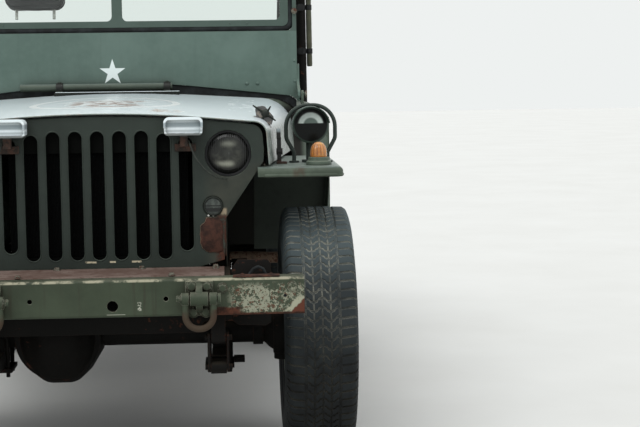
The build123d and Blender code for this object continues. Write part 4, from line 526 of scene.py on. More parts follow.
def cowlPaint():
    paint = wornPaint("cowlPaint", bodyLook)
    # behind the grille the cowl is painted near black, painted shade
    low = (1 - paint.rise(paint.z, 1.03, 1.06)) * (1 - paint.rise(paint.y, -0.5, -0.46))
    paint.mark(low * 0.97, paint.mix(paint.rise(paint.cloud, 0.4, 0.6), tint(9, 9, 8), tint(22, 20, 16)), 0.9)
    tube = paint.rise(paint.z, 1.1055, 1.106) * (1 - paint.rise(paint.y, -0.506,
            -0.504)) * (1 - paint.rise(abs(paint.x), 0.34, 0.35))
    paint.mark(tube * 0.45, tint(54, 62, 54), 0.4)
    # painted highlight along the top of the tube
    paint.mark(tube * paint.rise(paint.upward(), 0.5, 0.9) * 0.4, tint(110, 124, 120), 0.3)
    clamps = paint.between(paint.x, -0.2085, -0.1855, 0.0005) + paint.between(paint.x, 0.1565, 0.1795, 0.0005)
    paint.mark(tube * clamps, tint(30, 31, 28), 0.5)
    return paint.settle()


def rustPlate():
    paint = wornPaint("rustPlate", bodyLook)
    paint.mark(paint.rise(paint.noise(3), 0, 0.1), tint(56, 39, 33), 0.75)
    tone = paint.mix(paint.rise(paint.noise(34, 5, 0.65), 0.38, 0.62), tint(42, 30, 26), tint(74, 48, 39))
    paint.mark(paint.rise(paint.noise(3), 0, 0.1) * 0.85, tone, 0.8)
    rim = paint.edges * paint.rise(0.33 - paint.x, -0.01, 0.01)
    paint.mark(rim * paint.rise(paint.speck, 0.36, 0.46), tint(170, 156, 130), 0.6)
    paint.gloss = 0.15
    return paint.settle(0.0014, 0.7)


def lampBlack():
    paint = wornPaint("lampBlack", {**grilleLook, "paint": tint(22, 24, 22), "faded": tint(36, 40, 36),
                                    "bare": tint(70, 76, 68), "dust": 0.2, "gloss": 0.15})
    return paint.settle()


def sealRubber():
    rubber = Finish("sealRubber")
    cloud = rubber.noise(30, 5, 0.6)
    rubber.colour = rubber.mix(rubber.rise(cloud, 0.4, 0.7), tint(18, 20, 21), tint(38, 42, 43))
    rubber.rough = 0.6 + cloud * 0.2
    rubber.gloss = 0.2
    rubber.height = cloud
    return rubber.settle(0.0005)


def blackPlastic():
    plastic = Finish("blackPlastic")
    grain = plastic.noise(900, 3, 0.6)
    cloud = plastic.noise(12, 5, 0.6)
    plastic.edge(0.001)
    plastic.colour = plastic.mix(plastic.rise(cloud, 0.4, 0.7), tint(26, 27, 28), tint(44, 45, 45))
    plastic.rough = 0.38 + cloud * 0.25
    plastic.gloss = 0.2
    plastic.height = grain
    return plastic.settle(0.0003)


def wireJacket():
    jacket = Finish("wireJacket")
    cloud = jacket.noise(60, 4, 0.6)
    jacket.colour = jacket.mix(jacket.rise(cloud, 0.4, 0.7), tint(38, 42, 38), tint(66, 72, 64))
    jacket.rough = 0.5 + cloud * 0.2
    jacket.height = cloud
    return jacket.settle(0.0003)


def wovenCloth(name, look):
    # threads over and under at the given pitch, faded in clouds, soiled on top
    cloth = Finish(name)
    step = math.pi / look["pitch"]
    warp = abs(cloth.sum("SINE", cloth.x * step))
    weft = abs(cloth.sum("SINE", (cloth.z + cloth.y * 0.7) * step))
    weave = warp * 0.5 + weft * 0.5
    cloud = cloth.noise(9, 6, 0.62)
    fuzz = cloth.noise(300, 4, 0.7)
    cloth.colour = cloth.mix(cloth.rise(cloud, 0.35, 0.68), look["deep"], look["pale"])
    cloth.mark((1 - weave) * 0.4 + fuzz * 0.12, look["gap"])
    # darker in the creases and hollows of the pad, painted shade
    cloth.mark(cloth.rise(cloth.hollow(0.03), 0.3, 0.9) * 0.7, look["gap"])
    cloth.mark(cloth.rise(cloth.noise(22, 6, 0.7), 0.54, 0.7) * 0.35, look["stain"])
    cloth.rough = 0.84 + fuzz * 0.12
    cloth.height = weave + fuzz * 0.4
    return cloth.settle(0.0008, 0.7, **{"Sheen Weight": 0.25, "Sheen Roughness": 0.5})


def amberLens():
    lens = Finish("amberLens")
    cloud = lens.noise(30, 4, 0.6)
    flutes = abs(lens.sum("SINE", lens.z * (math.pi / 0.004)))
    lens.colour = lens.mix(lens.rise(cloud, 0.4, 0.7), tint(186, 124, 58), tint(152, 94, 40))
    turn = lens.sum("ARCTAN2", lens.y + 1.385, abs(lens.x) - 0.634)
    ribs = lens.rise(lens.sum("COSINE", turn * 14), 0.2, 0.8)
    lens.mark(ribs * lens.between(lens.z, 0.922, 0.955, 0.004) * 0.6, tint(104, 62, 32))
    # painted highlight on the top of the dome, painted shade in its hollows
    lens.mark(lens.rise(lens.z, 0.950, 0.9585) * 0.5, tint(226, 176, 120))
    lens.mark(lens.rise(lens.hollow(0.01), 0.3, 0.9) * 0.5, tint(110, 52, 18))
    lens.rough = 0.2 + cloud * 0.15
    lens.height = flutes
    return lens.settle(0.0004, 0.5, **{"Subsurface Weight": 0.3, "Subsurface Radius": (0.02, 0.008, 0.002),
                                       "Coat Weight": 0.6})


def brightSteel(name, look):
    steel = Finish(name)
    speck = steel.noise(60, 6, 0.65)
    edge = steel.edge(0.0012)
    steel.colour = steel.mix(steel.rise(speck, 0.4, 0.6), look["clean"], look["dull"])
    steel.metal = 0.75
    steel.rough = 0.34 + speck * 0.3
    steel.mark(steel.rise(speck, look["rustFrom"], look["rustFrom"] + 0.05), rustTones["mid"], 0.9, 0)
    # darker in hollows: dirt there, and painted shade
    steel.mark(steel.rise(steel.hollow(0.02), 0.3, 0.9) * 0.7, tint(34, 30, 26), 0.8)
    steel.mark(edge * 0.3, tint(190, 190, 180))
    steel.height = speck
    return steel.settle(0.0006)


def visorPaleWithPaintedGlints():
    # a pale lamp hood above, painted near white with bluish bands across its face: painted highlights and
    # reflections; a dark rusty case below
    paint = wornPaint("visorPaleWithPaintedGlints", {**bodyLook, "paint": tint(212, 224, 228), "faded": tint(238, 245, 247),
                                      "rough": 0.28, "bare": tint(226, 230, 228),
                                      "dirtAndShadeTone": tint(84, 88, 86), "dust": 0.2, "runs": 0.2, "rustFrom": 0.68})
    paint.mark(paint.between(paint.z, 1.013, 1.027, 0.003) * 0.7, tint(104, 120, 126), 0.25)
    paint.mark(paint.between(paint.z, 1.0, 1.006, 0.002) * 0.5, tint(112, 122, 124), 0.3)
    paint.mark(paint.rise(paint.z, 1.031, 1.036) * 0.8, tint(226, 236, 238), 0.25)
    low = 1 - paint.rise(paint.z + paint.speck * 0.004, 0.996, 1.000)
    paint.mark(low * 0.85, tint(58, 60, 52), 0.6)
    foot = 1 - paint.rise(paint.z, 0.984, 0.992)
    tone = paint.mix(paint.rise(paint.speck, 0.42, 0.6), tint(38, 32, 27), tint(66, 47, 38))
    paint.mark(foot, tone, 0.8)
    return paint.settle()


def radiatorCore():
    # the core and tank are near black: their dark paint, darkened further as painted shade behind the grille
    core = Finish("radiatorCore")
    fins = abs(core.sum("SINE", core.x * (math.pi / 0.0042)))
    tubes = abs(core.sum("SINE", core.z * (math.pi / 0.0045)))
    middle = core.between(core.z, 0.642, 0.938, 0.001)
    cloud = core.noise(12, 5, 0.6)
    core.colour = core.mix(core.rise(cloud, 0.4, 0.7), tint(5, 6, 5), tint(10, 11, 10))
    core.mark(middle, tint(7, 8, 8))
    core.mark(middle * core.rise(fins, 0.5, 0.98) * 0.6, tint(16, 17, 17))
    core.gloss = 0.05
    core.rough = 0.6 + cloud * 0.2
    core.height = (fins + tubes * 0.4) * middle
    return core.settle(0.003, 0.9)


finishes = {"grille": grillePaint(), "hood": hoodPaint(), "windshield": windshieldPaint(),
            "bumper": bumperPaint(),
            "rustySheet": rustySheet(), "exhaust": exhaustSteel(), "tyre": tyreRubber(),
            "glass": windowGlass(),
            "headlamp": headlampGlass(), "drive": drivePaint(), "fender": fenderPaint(), "cowl": cowlPaint(),
            "rustPlate": rustPlate(), "lampBlack": lampBlack(), "seal": sealRubber(),
            "plastic": blackPlastic(), "wire": wireJacket(),
            "amber": amberLens(), "visor": visorPaleWithPaintedGlints(), "radiator": radiatorCore(),
            "hoodIron": wornPaint("hoodIron", {**castLook, "paint": tint(24, 23, 22),
                                               "bare": tint(120, 108, 94)}).settle(),
            "bolt": brightSteel("boltSteel", {"clean": tint(122, 118, 106), "dull": tint(84, 82, 72),
                                              "rustFrom": 0.52}),
            "bright": brightSteel("brightSteel",
                                  {"clean": tint(188, 188, 182), "dull": tint(140, 140, 134),
                                   "rustFrom": 0.62}),
            "seatCloth": wovenCloth("seatCloth",
                                    {"pitch": 0.0026, "deep": tint(84, 94, 106), "pale": tint(116, 126, 136),
                                     "gap": tint(44, 50, 58),
                                                  "stain": tint(92, 86, 76)}),
            "canvas": wovenCloth("canvas", {"pitch": 0.0019, "deep": tint(78, 80, 64),
                                            "pale": tint(104, 104, 84), "gap": tint(44, 45, 35),
                                            "stain": tint(64, 56, 42)}),
            "vinyl": blackPlastic()}

dressing = {"tow_shackles": "bumper", "grille": "grille", "hood": "hood", "windshield_frame": "windshield",
            "front_bumper": "bumper", "exhaust": "exhaust",
            "windshield_glass": "glass", "headlamp_lenses": "headlamp", "headlamps": "plastic",
            "blackout_lamp": "drive", "fender_left": "fender", "fender_right": "fender",
            "cowl": "cowl", "marker_lamps": "plastic", "steering_wheel": "plastic",
            "headrest": "vinyl", "lamp_wires": "wire", "turn_signals": "amber", "visor_lamps": "visor",
            "radiator": "radiator",
            "front_seat_pads": "seatCloth", "rear_seat_pads": "canvas", "curtain_rolls": "canvas"}
chassisNodes = ["frame", "front_axle", "rear_axle", "leaf_springs", "shock_absorbers", "skid_plate",
                "tie_rod", "drag_link",
                "seat_frames", "cage_front_hoop", "cage_rear_hoop", "cab_controls"]
castNodes = ["engine", "driveline", "knuckle_left", "knuckle_right", "pitman_arm"]
floorNodes = ["tub_floor", "fuel_tank"]


print("finishes made")


def dressNodes():
    for name, node in nodes.items():
        if name in dressing:
            coat = finishes[dressing[name]]
        elif name in chassisNodes:
            coat = chassisPaint
        elif name in castNodes:
            coat = castIron
        elif name in floorNodes:
            coat = floorPaint
        elif name.startswith("tyre_") or name == "spare_tyre":
            coat = finishes["tyre"]
        elif name.startswith("rim_") or name == "spare_rim":
            coat = wheelPaint
        else:
            coat = bodyPaint
        node.data.materials.clear()
        node.data.materials.append(coat)


dressNodes()
print("frame nodes dressed")


# Shapes shared by the pieces
def addBox(bm, low, high):
    low, high = Vector(low), Vector(high)
    where = Matrix.Translation((low + high) / 2) @ Matrix.Diagonal((*(high - low), 1))
    return bmesh.ops.create_cube(bm, size=1, matrix=where)["verts"]


def along(start, end):
    start, end = Vector(start), Vector(end)
    return Matrix.Translation((start + end) / 2) @ (end - start).to_track_quat("Z", "Y").to_matrix().to_4x4()


def addRod(bm, start, end, radius, sides=16, tip=None):
    depth = (Vector(end) - Vector(start)).length
    tip = radius if tip is None else tip
    return bmesh.ops.create_cone(bm, cap_ends=True, segments=sides, radius1=radius, radius2=tip, depth=depth,
                                 matrix=along(start, end))["verts"]


def addPrism(bm, outline, low, high, where=None):
    # outline in X and Y, pushed up along Z, then put in place
    face = bm.faces.new([bm.verts.new((x, y, low)) for x, y in outline])
    pushed = bmesh.ops.extrude_face_region(bm, geom=[face])["geom"]
    top = [v for v in pushed if isinstance(v, bmesh.types.BMVert)]
    bmesh.ops.translate(bm, verts=top, vec=(0, 0, high - low))
    made = list(face.verts) + top
    if where is not None:
        bmesh.ops.transform(bm, matrix=where, verts=made)
    return made


def addTurned(bm, profile, where, steps=32):
    # profile of (radius, height) spun about Z
    start = [bm.verts.new((radius, 0, height)) for radius, height in profile]
    edges = [bm.edges.new(pair) for pair in zip(start, start[1:])]
    bmesh.ops.spin(bm, geom=start + edges, cent=(0, 0, 0), axis=(0, 0, 1), angle=math.tau, steps=steps,
                   use_merge=True)
    seen, queue = set(start), list(start)
    while queue:
        for e in queue.pop().link_edges:
            for v in e.verts:
                if v not in seen:
                    seen.add(v)
                    queue.append(v)
    bmesh.ops.transform(bm, matrix=where, verts=list(seen))
    bmesh.ops.remove_doubles(bm, verts=list(seen), dist=1e-6)
    return [v for v in seen if v.is_valid]


def facing(point, direction):
    return Matrix.Translation(point) @ Vector(direction).to_track_quat("Z", "Y").to_matrix().to_4x4()


def addBolt(bm, point, direction, across=0.019, height=0.008, washer=True):
    point, direction = Vector(point), Vector(direction).normalized()
    if washer:
        addRod(bm, point, point + direction * 0.0018, across * 0.78, 20)
        point = point + direction * 0.0015
    radius = across / math.sqrt(3)
    addRod(bm, point, point + direction * height * 0.8, radius, 6)
    addRod(bm, point + direction * height * 0.8, point + direction * height, radius, 6, radius * 0.82)


def addRivet(bm, point, direction, radius=0.006):
    addTurned(bm, [(radius, 0), (radius * 0.86, radius * 0.36), (radius * 0.5, radius * 0.6),
                   (0, radius * 0.68)],
              facing(point, direction), 10)


def addSweep(bm, points, radius, sides=10, closed=False):
    # a round bar through points, one ring each
    points = [Vector(p) for p in points]
    count = len(points)
    rings = []
    for i, point in enumerate(points):
        before = points[(i - 1) % count] if closed or i else point
        after = points[(i + 1) % count] if closed or i < count - 1 else point
        where = facing(point, after - before)
        rings.append(bmesh.ops.create_circle(bm, segments=sides, radius=radius, matrix=where)["verts"])
    pairs = list(zip(rings, rings[1:])) + ([(rings[-1], rings[0])] if closed else [])
    for first, second in pairs:
        edges = [e for ring in (first, second) for v in ring for e in v.link_edges
                 if all(w in ring for w in e.verts)]
        bmesh.ops.bridge_loops(bm, edges=list(set(edges)))
    if not closed:
        for ring in (rings[0], rings[-1]):
            bmesh.ops.contextual_create(bm, geom=ring)


def arcLoop(arcs, place):
    # points round a loop of arcs, each (centre across, centre up, radius, first angle, last angle)
    loop = []
    for across, up, radius, first, last in arcs:
        for angle in range(first, last + 1, 15):
            turn = math.radians(angle)
            loop.append(Vector(place(across + radius * math.cos(turn), up + radius * math.sin(turn))))
    return loop


def denser(loop, count):
    # count gives the number of steps for a side's length
    dense = []
    for i, point in enumerate(loop):
        following = loop[(i + 1) % len(loop)]
        steps = max(1, count((following - point).length))
        dense += [point.lerp(following, k / steps) for k in range(steps)]
    return dense


def roundEdges(bm, edges, offset, segments):
    bmesh.ops.bevel(bm, geom=edges, offset=offset, segments=segments, profile=0.5, affect="EDGES",
                    material=-1)


def meshOf(bm, name):
    mesh = bpy.data.meshes.new(name)
    bm.to_mesh(mesh)
    bm.free()
    return mesh


def smoothed(mesh, angle):
    mesh.polygons.foreach_set("use_smooth", [True] * len(mesh.polygons))
    mesh.set_sharp_from_angle(angle=math.radians(angle))
    return mesh


def finishPiece(name, bm, coat, body, instead=(), smooth=32):
    bmesh.ops.recalc_face_normals(bm, faces=bm.faces)
    return hangPiece(name, smoothed(meshOf(bm, name), smooth), coat, body, instead)


def hangPiece(name, mesh, coat, body, instead=()):
    mesh.materials.clear()
    mesh.materials.append(coat)
    piece = bpy.data.objects.new(name, mesh)
    scene.collection.objects.link(piece)
    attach(piece, body)
    if instead:
        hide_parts(*instead)
    return piece


# Tyres: an all-terrain tread, three rows of interlocking blocks between two rows of wide lugs
tyreLook = {"pitches": 86, "outer": 0.375, "base": 0.3698, "rows": (-0.0363, -0.0121, 0.0121, 0.0363),
            "rowHalf": 0.0096, "slant": 0.0066,
            "blockShare": 0.70, "lugShare": 0.74, "edgeCut": 0.0009}


def treadBlock(bm, centre, half, slant, length, low, high):
    # a leaning block with a step half way, so each row locks into the next
    step = math.copysign(0.0022, slant)
    near = [(-half, -slant), (-half * 0.15, -slant * 0.1 - step), (half * 0.15, slant * 0.1 + step),
            (half, slant)]
    points = [(x, y - length / 2) for x, y in near] + [(x, y + length / 2) for x, y in reversed(near)]
    made = addPrism(bm, [(centre + x, y) for x, y in points], low, high)
    return [e for e in bm.edges if all(v in made and v.co.z > high - 1e-5 for v in e.verts)]


def shoulderLug(bm, side, length, reach):
    section = [(0.0535, 0.3690), (0.0535, 0.3744), (0.084, 0.3736), (0.0945, 0.3665), (0.1, 0.352),
               (0.1035, reach), (0.0995, reach - 0.003),
               (0.096, 0.352), (0.088, 0.362)]
    where = Matrix.Translation((0, -length / 2, 0)) @ Matrix.Rotation(math.radians(90), 4, "X")
    made = addPrism(bm, [(side * x, z) for x, z in section], -length, 0, where)
    # the lug leans a little round the tyre towards its outer end
    for vertex in made:
        vertex.co.y += (abs(vertex.co.x) - 0.05) * 0.12
    return [e for e in bm.edges if all(v in made for v in e.verts)]


def tyreMesh(look):
    bm = bmesh.new()
    pitch = math.tau * look["outer"] / look["pitches"]
    edges = []
    for i, centre in enumerate(look["rows"]):
        slant = look["slant"] * (1 if i % 2 else -1)
        edges += treadBlock(bm, centre, look["rowHalf"], slant, pitch * look["blockShare"], look["base"],
                            look["outer"] - abs(centre) * 0.012)
    roundEdges(bm, edges, look["edgeCut"], 1)
    edges = []
    for side in (-1, 1):
        edges += shoulderLug(bm, side, pitch * look["lugShare"], 0.338)
    roundEdges(bm, edges, look["edgeCut"], 1)
    bmesh.ops.spin(bm, geom=bm.verts[:] + bm.edges[:] + bm.faces[:], cent=(0, 0, 0), axis=(1, 0, 0),
                   angle=math.tau * (look["pitches"] - 1) / look["pitches"], steps=look["pitches"] - 1,
                   use_duplicate=True)
    half = [(0.0, 0.3698), (0.05, 0.3694), (0.084, 0.3676), (0.0925, 0.361), (0.0985, 0.342), (0.101, 0.335),
            (0.1025, 0.331), (0.1035, 0.326),
            (0.1055, 0.316), (0.107, 0.304), (0.1078, 0.29), (0.1072, 0.276), (0.1055, 0.262), (0.1025, 0.25),
            (0.1, 0.2475), (0.1, 0.2435),
            (0.098, 0.238), (0.097, 0.228), (0.0935, 0.2225), (0.0877, 0.219), (0.0877, 0.203), (0.0, 0.203)]
    profile = [(r, x) for x, r in half] + [(r, -x) for x, r in half[-2:0:-1]]
    carcass = bmesh.new()
    loop = [carcass.verts.new((r, 0, h)) for r, h in profile]
    rim = [carcass.edges.new((loop[i], loop[(i + 1) % len(loop)])) for i in range(len(loop))]
    bmesh.ops.spin(carcass, geom=loop + rim, cent=(0, 0, 0), axis=(0, 0, 1), angle=math.tau, steps=96,
                   use_merge=True)
    bmesh.ops.rotate(carcass, verts=carcass.verts, cent=(0, 0, 0),
                     matrix=Matrix.Rotation(math.radians(90), 3, "Y"))
    bmesh.ops.recalc_face_normals(carcass, faces=carcass.faces)
    shell = meshOf(carcass, "carcass")
    bmesh.ops.recalc_face_normals(bm, faces=bm.faces)
    bm.from_mesh(shell)
    bpy.data.meshes.remove(shell)
    return smoothed(meshOf(bm, "tyre"), 28)


wheelPlaces = {"front_left": (0.632, -1.155, 0.375), "front_right": (-0.632, -1.155, 0.375),
               "rear_left": (0.632, 0.877, 0.375),
               "rear_right": (-0.632, 0.877, 0.375)}
sparePlace = Vector((-0.215, 1.596, 0.930))


def makeTyres():
    pattern = tyreMesh(tyreLook)
    for name, place in wheelPlaces.items():
        mesh = pattern.copy()
        mesh.transform(Matrix.Translation(place) @ Matrix.Rotation(0.35, 4, "X"))
        hangPiece("tyre_tread_" + name, mesh, finishes["tyre"], "wheel_" + name,
                  ["tyre_" + name])
    mesh = pattern.copy()
    mesh.transform(Matrix.Translation(sparePlace) @ Matrix.Rotation(math.radians(90), 4, "Z"))
    hangPiece("tyre_tread_spare", mesh, finishes["tyre"], "chassis", ["spare_tyre"])
    print("tyres:", len(pattern.polygons), "faces each")


makeTyres()

wheelTrim = {"nutCircle": 0.0698, "nuts": 5, "nutAcross": 0.021, "discFace": 0.0205, "hubEnd": 0.072}


def makeWheelNuts():
    for name, place in list(wheelPlaces.items()) + [("spare", tuple(sparePlace))]:
        bm = bmesh.new()
        side = 1 if place[0] > 0 else -1
        out = Vector((0, 1, 0)) if name == "spare" else Vector((side, 0, 0))
        over = Vector((0, 0, 1))
        beside = out.cross(over)
        centre = Vector(place)
        face = 0.018 + 0.0062 if name == "spare" else wheelTrim["discFace"]
        for i in range(wheelTrim["nuts"]):
            angle = math.tau * i / wheelTrim["nuts"] + 0.3
            spot = centre + (over * math.cos(angle) + beside
                             * math.sin(angle)) * wheelTrim["nutCircle"] + out * face
            addRod(bm, spot, spot + out * 0.004, 0.0145, 16)
            addBolt(bm, spot + out * 0.003, out, wheelTrim["nutAcross"], 0.014, False)
            addRod(bm, spot + out * 0.014, spot + out * 0.023, 0.006, 12)
        if name != "spare":
            for i in range(6):
                angle = math.tau * i / 6
                spot = centre + (over * math.cos(angle) + beside
                                 * math.sin(angle)) * 0.027 + out * wheelTrim["hubEnd"]
                addBolt(bm, spot, out, 0.010, 0.005, False)
            addTurned(bm, [(0.0175, 0), (0.0165, 0.005), (0.008, 0.008), (0, 0.0085)],
                      facing(centre + out * wheelTrim["hubEnd"], out), 20)
        # the valve stem stands in the disc
        stem = centre + over * 0.158 + out * 0.012
        addRod(bm, stem, stem + out * 0.034, 0.0045, 10)
        addRod(bm, stem + out * 0.024, stem + out * 0.036, 0.0058, 8)
        finishPiece("wheel_nuts_" + name, bm, finishes["bolt"],
                    "chassis" if name == "spare" else "wheel_" + name)
    print("wheel nuts made")


makeWheelNuts()


# Upholstery
def roundedSlab(size, corner, cut):
    # a block about the origin's middle of its foot, with rounded upright corners and softened edges
    bm = bmesh.new()
    width, depth, height = size
    addBox(bm, (-width / 2, 0, 0), (width / 2, depth, height))
    upright = [e for e in bm.edges if abs(e.verts[0].co.y - e.verts[1].co.y) > depth * 0.9]
    roundEdges(bm, upright, corner, 6)
    rim = [e for e in bm.edges if abs(e.verts[0].co.y - e.verts[1].co.y) < 1e-6]
    roundEdges(bm, rim, cut, 3)
    return bm


def solidify(piece, kind, settings):
    # puts one modifier on, keeps its result and takes it off
    modifier = piece.modifiers.new("shape", kind)
    for name, value in settings.items():
        setattr(modifier, name, value)
    shaped = bpy.data.meshes.new_from_object(piece.evaluated_get(bpy.context.evaluated_depsgraph_get()))
    piece.modifiers.clear()
    piece.data = shaped


def puffUp(piece, cap):
    # air pressure swells the pad while its cover pulls in between the corners
    start = [v.co.copy() for v in piece.data.vertices]
    cloth = piece.modifiers.new("cloth", "CLOTH")
    cloth.settings.quality = 5
    cloth.settings.use_pressure = True
    cloth.settings.uniform_pressure_force = 4
    cloth.settings.effector_weights.gravity = 0
    cloth.point_cache.frame_start = 1
    cloth.point_cache.frame_end = 20
    for step in range(1, 21):
        scene.frame_set(step)
    swollen = piece.evaluated_get(bpy.context.evaluated_depsgraph_get()).data
    ends = [v.co.copy() for v in swollen.vertices]
    piece.modifiers.clear()
    scene.frame_set(1)
    for vertex, before, after in zip(piece.data.vertices, start, ends):
        move = after - before
        vertex.co = before + (move * (cap / move.length) if move.length > cap else move)


def makePad(name, look, node, body, coat):
    size = [s - 2 * look["inset"] for s in look["size"]]
    bm = roundedSlab(size, look["corner"], look["cut"])
    bmesh.ops.translate(bm, verts=bm.verts, vec=(0, look["inset"], look["inset"]))
    piece = bpy.data.objects.new(name, meshOf(bm, name))
    scene.collection.objects.link(piece)
    solidify(piece, "REMESH", {"mode": "VOXEL", "voxel_size": look["voxel"]})
    puffUp(piece, look["cap"])
    width, depth, height = look["size"]
    front = look.get("front", -1)
    for vertex in piece.data.vertices:
        co = vertex.co
        # sewn channels and a border seam pull the face in
        face = max(0, min(1, front * (co.y - depth / 2) / (depth / 2)))
        pull = 0
        for seam in look["seams"]:
            pull = max(pull, 1 - abs(co.x - seam) / 0.011)
        border = min(width / 2 - abs(co.x), height - co.z, co.z)
        pull = max(pull, 1 - abs(border - look["border"]) / 0.010)
        if pull > 0 and face > 0.35:
            co.y -= front * look["seamDepth"] * pull * pull * (3 - 2 * pull)
        # the pad is flat where it rests, and stays in the room it has
        co.x = max(-width / 2, min(width / 2, co.x))
        co.y = max(0, min(depth, co.y))
        co.z = max(0, min(height, co.z))
    fine = piece.modifiers.new("fine", "SUBSURF")
    fine.levels = fine.render_levels = 1
    evaluated = bpy.data.meshes.new_from_object(piece.evaluated_get(bpy.context.evaluated_depsgraph_get()))
    tree = BVHTree.FromPolygons([v.co for v in evaluated.vertices], [p.vertices for p in evaluated.polygons])
    bpy.data.meshes.remove(evaluated)
    piping = makePiping(tree, look)
    for mesh in (piece.data, piping):
        mesh.transform(look["place"])
        mesh.polygons.foreach_set("use_smooth", [True] * len(mesh.polygons))
    piece.data.materials.clear()
    piece.data.materials.append(coat)
    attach(piece, body)
    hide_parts(node)
    hangPiece(name + "_piping", piping, coat, body)
    print("pad made:", name)


def makePiping(tree, look):
    # a welted seam laid on the pad's own surface, round its face
    width, depth, height = look["size"]
    bm = bmesh.new()
    for level in look["welts"]:
        corner = look["corner"]
        right, top = width / 2 - corner, height / 2 - corner
        arcs = ((right, top, corner, 0, 90), (-right, top, corner, 90, 180), (-right, -top, corner, 180, 270),
                (right, -top, corner, 270, 360))
        loop = arcLoop(arcs, lambda across, up: (across, depth * level, height / 2 + up))
        laid = []
        for point in denser(loop, lambda length: int(length / look["weltStep"])):
            spot, normal = tree.find_nearest(point)[:2]
            laid.append(spot + normal * 0.0006)
        addSweep(bm, laid, look["weltRadius"], 8, closed=True)
    bmesh.ops.recalc_face_normals(bm, faces=bm.faces)
    return meshOf(bm, "piping")


def leaning(x, y, z, degrees):
    return Matrix.Translation((x, y, z)) @ Matrix.Rotation(math.radians(-degrees), 4, "X")


# a cushion lies down: its face, drawn along -Y, is turned up to +Z
def lying(x, frontY, z, height):
    return Matrix.Translation((x, frontY, z + height)) @ Matrix.Rotation(math.radians(-90), 4,
            "X") @ Matrix.Scale(-1, 4, (0, 0, 1))


padBasics = {"inset": 0.012, "cut": 0.016, "cap": 0.014, "seamDepth": 0.006, "weltRadius": 0.0034,
             "weltStep": 0.022, "voxel": 0.0085, "border": 0.052}
padPlans = {
    "passenger_cushion": ("front_seat_pads", "seatCloth", "seat_cloth",
                          {"size": (0.470, 0.1352, 0.422), "corner": 0.055, "seams": (-0.09, 0.0, 0.09),
                           "welts": (0.14, 0.86),
                           "place": lying(-0.395, -0.040, 0.7126, 0.1352)}),
    "passenger_back": ("front_seat_pads", "seatCloth", "seat_cloth",
                       {"size": (0.471, 0.110, 0.532), "corner": 0.06, "seams": (-0.09, 0.0, 0.09),
                        "welts": (0.14, 0.86),
                        "place": leaning(-0.395, 0.370, 0.868, 9)}),
    "driver_cushion": ("front_seat_pads", "seatCloth", "seat_cloth",
                       {"size": (0.400, 0.0847, 0.390), "corner": 0.045, "seams": (0.0,),
                        "welts": (0.18, 0.82), "inset": 0.010,
                        "place": lying(0.395, -0.020, 0.8006, 0.0847)}),
    "driver_back": ("front_seat_pads", "seatCloth", "seat_cloth",
                    {"size": (0.413, 0.070, 0.250), "corner": 0.04, "seams": (), "welts": (0.2, 0.8),
                     "inset": 0.009, "voxel": 0.007,
                     "place": leaning(0.395, 0.360, 0.900, 12)}),
    "rear_cushion": ("rear_seat_pads", "canvas", "seat_canvas",
                     {"size": (0.870, 0.0785, 0.310), "corner": 0.03, "seams": (-0.145, 0.145),
                      "welts": (0.18, 0.82), "inset": 0.010,
                      "place": lying(0, 0.790, 0.8015, 0.0785)}),
    "rear_back": ("rear_seat_pads", "canvas", "seat_canvas",
                  {"size": (0.885, 0.044, 0.170), "corner": 0.02, "seams": (-0.145, 0.145),
                   "welts": (0.25, 0.75), "inset": 0.007,
                   "voxel": 0.007, "cut": 0.01, "border": 0.035, "place": leaning(0, 1.110, 0.890, 11)}),
    "headrest_pad": ("headrest", "vinyl", "black_plastic",
                     {"size": (0.250, 0.094, 0.165), "corner": 0.036, "seams": (), "welts": (0.2, 0.8),
                      "inset": 0.009, "voxel": 0.006,
                      "border": 0.03, "place": leaning(-0.395, 0.370, 0.868,
                                                       9) @ Matrix.Translation((0, 0.006, 0.565))}),
}


def makeUpholstery():
    for name, (node, coat, slot, look) in padPlans.items():
        makePad(name, {**padBasics, **look}, node, "chassis", finishes[coat])
    bm = bmesh.new()
    for side in (-1, 1):
        addRod(bm, (side * 0.075, 0.055, 0.5323), (side * 0.075, 0.055, 0.572), 0.006, 16)
    bmesh.ops.transform(bm, matrix=leaning(-0.395, 0.370, 0.868, 9), verts=bm.verts)
    finishPiece("headrest_posts", bm, finishes["bright"], "chassis", ["headrest"])


makeUpholstery()

rollLook = {"radius": 0.0105, "pinch": 0.0014, "straps": (1.235, 1.39, 1.545), "low": 1.18, "high": 1.60,
            "steps": 42,
            "postY": -0.290, "beside": 0.0303}


def postAt(z):
    # the front hoop's post leans in a little towards the top
    return 0.645 - 0.010 * (z - 0.585) / 1.175


